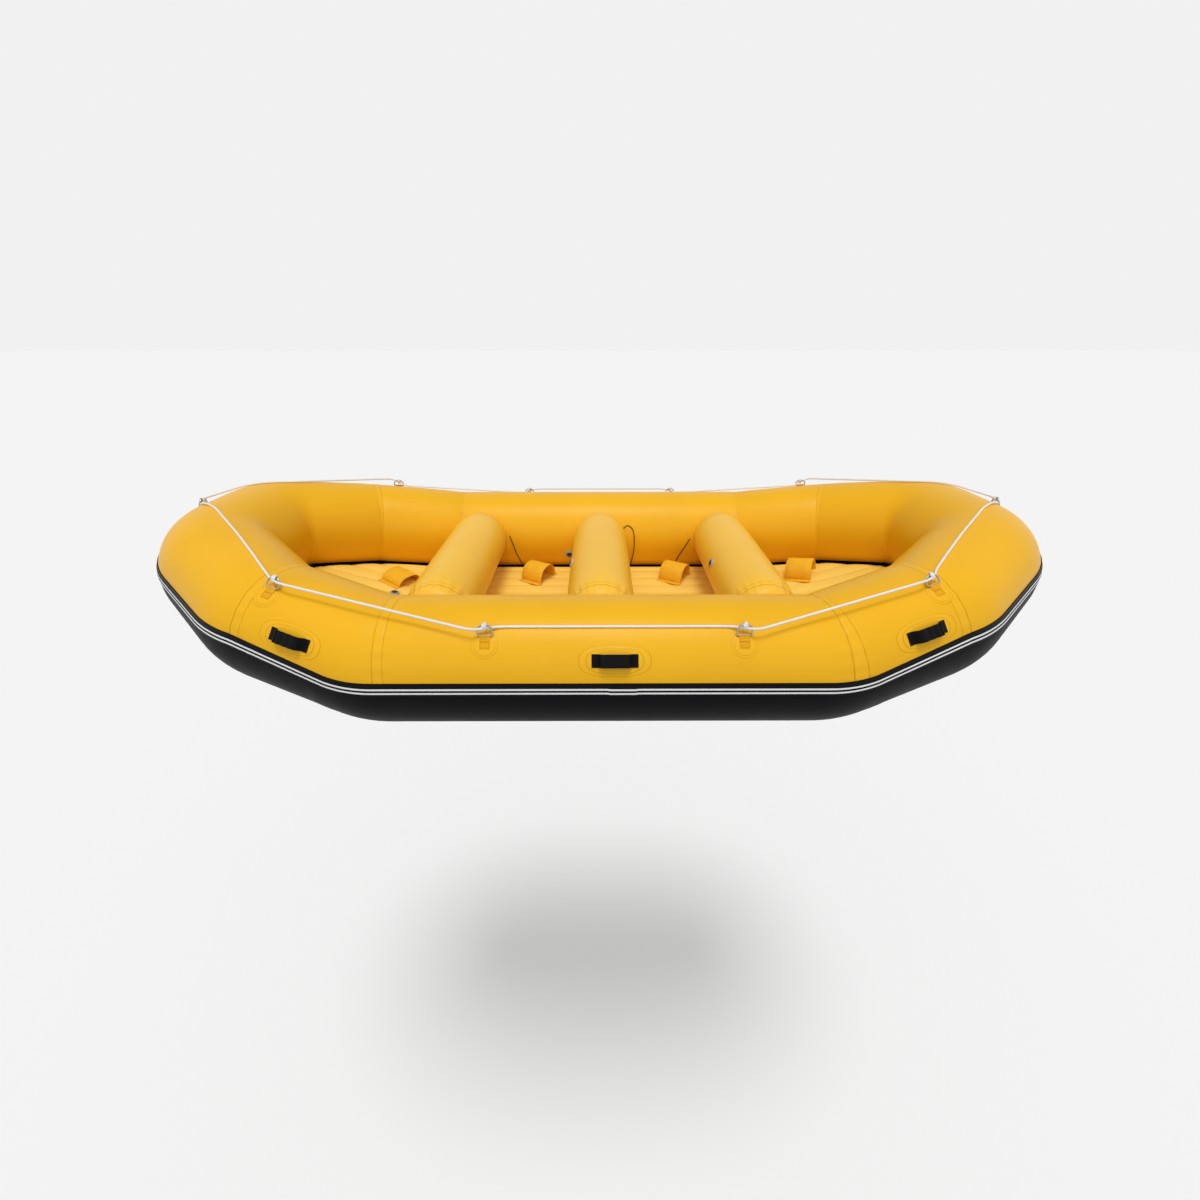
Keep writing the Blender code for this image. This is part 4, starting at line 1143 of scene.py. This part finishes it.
def thwart(name, x):
    """A crossways tube with rounded, drawn-in ends that press against the side tubes."""
    cap = THWART_CAP_START + THWART_CAP_LENGTH * np.linspace(0, 1, THWART_CAP_ROWS)[1:]
    ys = np.concatenate([-cap[::-1], spread(-THWART_CAP_START, THWART_CAP_START, THWART_ROW_STEP), cap])
    turns = np.linspace(0, math.tau, THWART_COLUMNS, endpoint=False)
    ripple = THWART_PUCKER_RISE * np.cos(THWART_PUCKERS * turns + THWART_PUCKER_SWAY * np.sin(3 * turns))
    rows, slots = [], []
    for y in ys:
        over = max(0.0, abs(y) - THWART_CAP_START) / THWART_CAP_LENGTH
        radius = THWART_RADIUS - THWART_CAP_DEPTH * (1 - math.sqrt(max(0.0, 1 - over**THWART_CAP_SQUARE)))
        seam = abs(y) - THWART_SEAM
        radius += THWART_LAP_RISE * eased(seam, THWART_LAP_HALF, THWART_LAP_EDGE)
        radius -= THWART_PINCH * math.exp(-(seam / THWART_PINCH_REACH) ** 2)
        radii = radius + ripple * math.exp(-(seam / THWART_PUCKER_REACH) ** 2)
        # rows at the lap's edges take painted shade
        slots.append(int(THWART_SHADE_LINES[0] < abs(seam) < THWART_SHADE_LINES[1]))
        rows.append([(x + r * math.cos(t), y, THWART_HEIGHT + r * math.sin(t)) for r, t in zip(radii, turns)])
    uvs = flat_places(ys, np.append(turns, math.tau) * THWART_RADIUS)
    made = grid("tube_of_thwart_" + name, rows, [THWART_FABRIC, EDGE_SHADE_AND_THREAD], uvs, around=True, row_slots=slots)
    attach(made, "raft")
    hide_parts("thwart_" + name)


def floor_lift(x):
    """How high the floor is raised at X, its bends rounded."""
    knots, values = zip((0.0, 0.0), *FLOOR_BENDS)
    shifts = np.linspace(-FLOOR_SOFT, FLOOR_SOFT, 9)
    return sum(np.interp(np.abs(x) + shift, knots, values) for shift in shifts) / len(shifts)


def flange_angle(station):
    """The flange's place on the tube, kept partly level where the tube leans."""
    lean = sum(math.asin(LEGS[(station - k) % STATIONS][1].z) for k in (0, 1)) / 2
    return FLANGE_ANGLE - FLANGE_LEVEL_SHARE * math.degrees(lean)


def inboard(station):
    before, after = [LEGS[(station - k) % STATIONS][0].cross(UP).normalized() for k in (1, 0)]
    return -(before + after) / (1 + before.dot(after))


def edge_distance(points, outline):
    """How far each point in plan lies inside the outline."""
    near = np.full(len(points), 9.0)
    for a, b in zip(outline, outline[1:] + outline[:1]):
        along = np.array([b.x - a.x, b.y - a.y])
        along /= np.linalg.norm(along)
        inward = np.array([-along[1], along[0]])
        near = np.minimum(near, (points - np.array([a.x, a.y])) @ inward)
    return near


def floor_plan(outline):
    """A flat grid cut to an outline: its points in plan, its faces, and the points on its rim."""
    reach_x = max(p.x for p in outline)
    reach_y = max(p.y for p in outline)
    ys = spread(-reach_y, reach_y, FLUTE_WIDTH / FLUTE_COLUMNS)
    sheet = bmesh.new()
    lines = [[sheet.verts.new((x, y, 0)) for y in ys] for x in spread(-reach_x, reach_x, FLOOR_ROW_STEP)]
    for near, far in zip(lines, lines[1:]):
        for corners in zip(near, far, far[1:], near[1:]):
            sheet.faces.new(corners)
    for a, b in zip(outline, outline[1:] + outline[:1]):
        along = Vector((b.x - a.x, b.y - a.y, 0)).normalized()
        outward = Vector((along.y, -along.x, 0))
        geom = sheet.verts[:] + sheet.edges[:] + sheet.faces[:]
        bmesh.ops.bisect_plane(sheet, geom=geom, plane_co=(a.x, a.y, 0), plane_no=outward, clear_outer=True)
    bmesh.ops.remove_doubles(sheet, verts=sheet.verts, dist=FLOOR_MERGE)
    sheet.verts.ensure_lookup_table()
    plan = np.array([(v.co.x, v.co.y) for v in sheet.verts])
    faces = [tuple(v.index for v in f.verts) for f in sheet.faces]
    rim = {v.index for v in sheet.verts if v.is_boundary}
    sheet.free()
    return plan, faces, rim


def inflated_floor():
    """The I-beam floor: rounded lengthways beams that pull in to a lower edge all round."""
    outline = [surface_point(k, flange_angle(k), GAP) + inboard(k) * FLOOR_EDGE_GAP for k in range(STATIONS)]
    plan, faces, rim = floor_plan(outline)
    half = FLOOR_THICKNESS / 2
    depth = np.clip(edge_distance(plan, outline) / half, 0, 1)
    beam = (plan[:, 1] / FLUTE_WIDTH + 0.5) % 1 * 2 - 1
    dip = FLUTE_RISE * (1 - np.sqrt(1 - FLUTE_ROUND * beam**2))
    bulge = (half - dip) * np.sqrt(1 - (1 - depth) ** 2)
    middle = FLOOR_TOP - half + floor_lift(plan[:, 0])
    verts = np.concatenate([np.column_stack([plan, middle + side * bulge]) for side in (1, -1)])
    under = [k if k in rim else k + len(plan) for k in range(len(plan))]
    faces += [tuple(under[k] for k in reversed(f)) for f in faces]
    uvs = verts[[k for f in faces for k in f], :2]
    piece = add_piece("floor_beams", verts, faces, FLOOR_FABRIC, uvs)
    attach(piece, "raft")
    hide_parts("inflatable_floor")


def lacing_flange():
    """The black flange that laces the floor to the tubes, below the gap between them, and its lap."""
    rows, lap = [], []
    for k in [*range(STATIONS), 0]:
        angle = flange_angle(k)
        high = surface_point(k, angle - FLANGE_HALF_ANGLE, FLANGE_RISE)
        low = surface_point(k, angle + FLANGE_HALF_ANGLE, FLANGE_RISE)
        reach = inboard(k) * (FLOOR_EDGE_GAP + FLANGE_UNDER)
        sunk = inboard(k) * FLANGE_SUNK
        rows.append([high - sunk, high + reach, low + reach, low - sunk])
        lap.append([surface_point(k, angle + over, lift) for over, lift in FLANGE_LAP])
    for name, points, around, crease in (("flange_lap", lap, False, None), ("lacing_flange", rows, True, 40)):
        made = grid(name, points, FLANGE_BLACK, around=around, crease=crease)
        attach(made, "raft")


def floor_frame(x, y, turn=0.0):
    """Axes on the floor at X and Y, along its slope there and turned about their Z."""
    reach = LOOP_SPAN / 2
    ends = [Vector((there, y, FLOOR_TOP + float(floor_lift(there)))) for there in (x - reach, x + reach)]
    along = ends[1] - ends[0]
    made = frame_at((ends[0] + ends[1]) / 2, along, along.cross(Vector((0, 1, 0))))
    return made @ Matrix.Rotation(math.radians(turn), 4, "Z")


def loop_path(height):
    """A foot loop's arch between its two feet, leaning a little."""
    half = LOOP_SPAN / 2
    path = [(-half - LOOP_FOOT, 0.0), (-half - LOOP_FOOT / 2, LOOP_FOOT_RISE)]
    for turn in np.linspace(0, math.pi, LOOP_POINTS):
        lean = LOOP_LEAN * math.sin(turn) ** 2 * half
        flat = math.copysign(abs(math.cos(turn)) ** LOOP_SQUARE, math.cos(turn))
        rise = height * math.sin(turn) ** LOOP_ROUND - LOOP_SAG * math.sin(5 * turn)
        path.append((-half * flat + lean, rise))
    return path + [(half + LOOP_FOOT / 2, LOOP_FOOT_RISE), (half + LOOP_FOOT, 0.0)]


def foot_loops():
    """Wide webbing arches glued to the floor, turned towards the paddlers on each side."""
    for side, sign in (("port", 1), ("starboard", -1)):
        for place, x, inset, height in LOOPS:
            matrix = floor_frame(x, sign * (SIDE_LINE - TUBE_RADIUS - inset), sign * LOOP_TURN)
            matrix = matrix @ Matrix.Rotation(math.pi / 2, 4, "Z")
            name = f"{side}_{place}"
            path = loop_path(height)
            made = strap("loop_strap_" + name, matrix, path, LOOP_WIDTH, LOOP_STRAP, LOOP_WEBBING)
            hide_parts("foot_loop_" + name)


# Valves


def valve_frames():
    """Each valve's cap node and its axes, Z out of the fabric."""
    turn = math.radians(THWART_VALVE_TURN)
    outward = Vector((math.cos(turn), 0, math.sin(turn)))
    frames = {}
    for name, x in THWARTS:
        origin = Vector((x, THWART_VALVE_Y, THWART_HEIGHT)) + outward * (THWART_RADIUS - VALVE_SUNK)
        frames[f"thwart_{name}_valve_cap"] = frame_at(origin, Vector((0, 1, 0)), outward)
    frames["floor_valve_cap"] = floor_frame(*FLOOR_VALVE)
    places = {"bow": leg_middle(0), "stern": leg_middle(10)}
    places |= {"port": side_place(VALVE_X, 1), "starboard": side_place(VALVE_X, -1)}
    for name, u in places.items():
        frames[name + "_valve_cap"] = facet_frame(u, VALVE_FACET)
    return frames


def leg_middle(k):
    """The middle of a shoulder leg of the faceted tube."""
    leg = (CORNERS[(k + 1) % SPANS] - CORNERS[k]).length
    return along_leg(k, (corner_cut(k) + leg - corner_cut((k + 1) % SPANS)) / 2)


def valve(cap, matrix):
    made = turned(cap.replace("_cap", "_seat"), matrix, VALVE_SEAT, VALVE_GREY)
    surfaces = [VALVE_GREY, VALVE_DARK]
    made = turned(cap + "_disc", matrix, VALVE_LID, surfaces, body=cap, row_slots=VALVE_LID_SLOTS)
    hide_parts(cap)
    path = []
    for share in np.linspace(0, 1, GRIP_POINTS):
        rise = GRIP_RISE * math.sqrt(abs(math.sin(math.pi * share)))
        path.append(((2 * share - 1) * GRIP_HALF, GRIP_BASE + rise))
    made = strap(cap + "_grip", matrix, path, GRIP_WIDTH, GRIP_THICKNESS, VALVE_DARK, body=cap)


# Stage


def grey(level):
    return (level, level, level, 1)


def seen_rays(tree):
    """1 for the rays that show a background: camera, glossy and transmission."""
    ray = node(tree, "LightPath", {}).outputs
    either = node(tree, "Math", {0: ray["Is Camera Ray"], 1: ray["Is Glossy Ray"]}, operation="MAXIMUM")
    either = node(tree, "Math", {0: either.outputs[0], 1: ray["Is Transmission Ray"]}, operation="MAXIMUM")
    return either.outputs[0]


def add_floor():
    """A pale floor that takes the raft's shadow and otherwise looks like the backdrop."""
    bpy.ops.mesh.primitive_plane_add(size=FLOOR_SIZE, location=(0, 0, -FLOOR_DROP))
    floor = bpy.context.object
    floor.name = "studio_floor"
    surface = bpy.data.materials.new("studio_floor")
    surface.use_nodes = True
    tree = surface.node_tree
    tree.nodes.clear()
    seen = node(tree, "BsdfDiffuse", {"Color": grey(FLOOR_SEEN)})
    bounced = node(tree, "BsdfDiffuse", {"Color": grey(FLOOR_BOUNCE)})
    glow = node(tree, "Emission", {"Strength": FLOOR_GLOW})
    both = node(tree, "AddShader", {0: seen.outputs[0], 1: glow.outputs[0]})
    mix = node(tree, "MixShader", {"Fac": seen_rays(tree), 1: bounced.outputs[0], 2: both.outputs[0]})
    node(tree, "OutputMaterial", {"Surface": mix.outputs[0]})
    floor.data.materials.append(surface)


def add_world():
    """Even light that is stronger from the front and above, behind a plain pale backdrop."""
    world = bpy.data.worlds.new("studio")
    bpy.context.scene.world = world
    world.use_nodes = True
    tree = world.node_tree
    light = tree.nodes["Background"]
    where = node(tree, "TexCoord", {}).outputs["Generated"]
    front = Vector(WORLD_FRONT).normalized()
    facing = node(tree, "VectorMath", {0: where, 1: front}, operation="DOT_PRODUCT").outputs["Value"]
    ranges = {"From Min": WORLD_START, "From Max": 1.0, "To Min": WORLD_LOW, "To Max": WORLD_HIGH}
    rising = node(tree, "MapRange", {"Value": facing, **ranges}, interpolation_type="SMOOTHSTEP")
    x = node(tree, "SeparateXYZ", {0: where}).outputs["X"]
    squared = node(tree, "Math", {0: x, 1: x}, operation="MULTIPLY").outputs[0]
    sides = node(tree, "Math", {0: squared, 1: -WORLD_SIDES, 2: 1.0}, operation="MULTIPLY_ADD").outputs[0]
    level = node(tree, "Math", {0: sides, 1: rising.outputs["Result"]}, operation="MULTIPLY").outputs[0]
    tree.links.new(level, light.inputs["Strength"])
    light.inputs["Color"].default_value = grey(1)
    backdrop = node(tree, "Background", {"Color": grey(BACKDROP)})
    mix = node(tree, "MixShader", {"Fac": seen_rays(tree), 1: light.outputs[0], 2: backdrop.outputs[0]})
    tree.links.new(mix.outputs[0], tree.nodes["World Output"].inputs["Surface"])


def add_lamp():
    """A broad overhead light, whose shadow falls straight below the raft."""
    data = bpy.data.lights.new("overhead", "SUN")
    data.energy = SUN_POWER
    data.angle = math.radians(SUN_SPREAD)
    lamp = bpy.data.objects.new("overhead", data)
    lamp.rotation_euler = (math.radians(SUN_TILT), 0, 0)
    bpy.context.scene.collection.objects.link(lamp)


def add_stage():
    add_floor()
    add_world()
    add_lamp()
    bpy.context.scene.view_settings.view_transform = "Standard"


add_camera()
safety_rope()
for tie, tie_places in TIES.items():
    tie_cord(tie, tie_places)
for panel in PANELS:
    tube_panel(*panel)
for seam, corner in SEAMS:
    seam_tape(seam, seam_place(corner))
wear_skins()
rub_strake()
rings()
for place in handle_places():
    handle(*place)
for place in THWARTS:
    thwart(*place)
inflated_floor()
lacing_flange()
foot_loops()
for place in valve_frames().items():
    valve(*place)
add_stage()
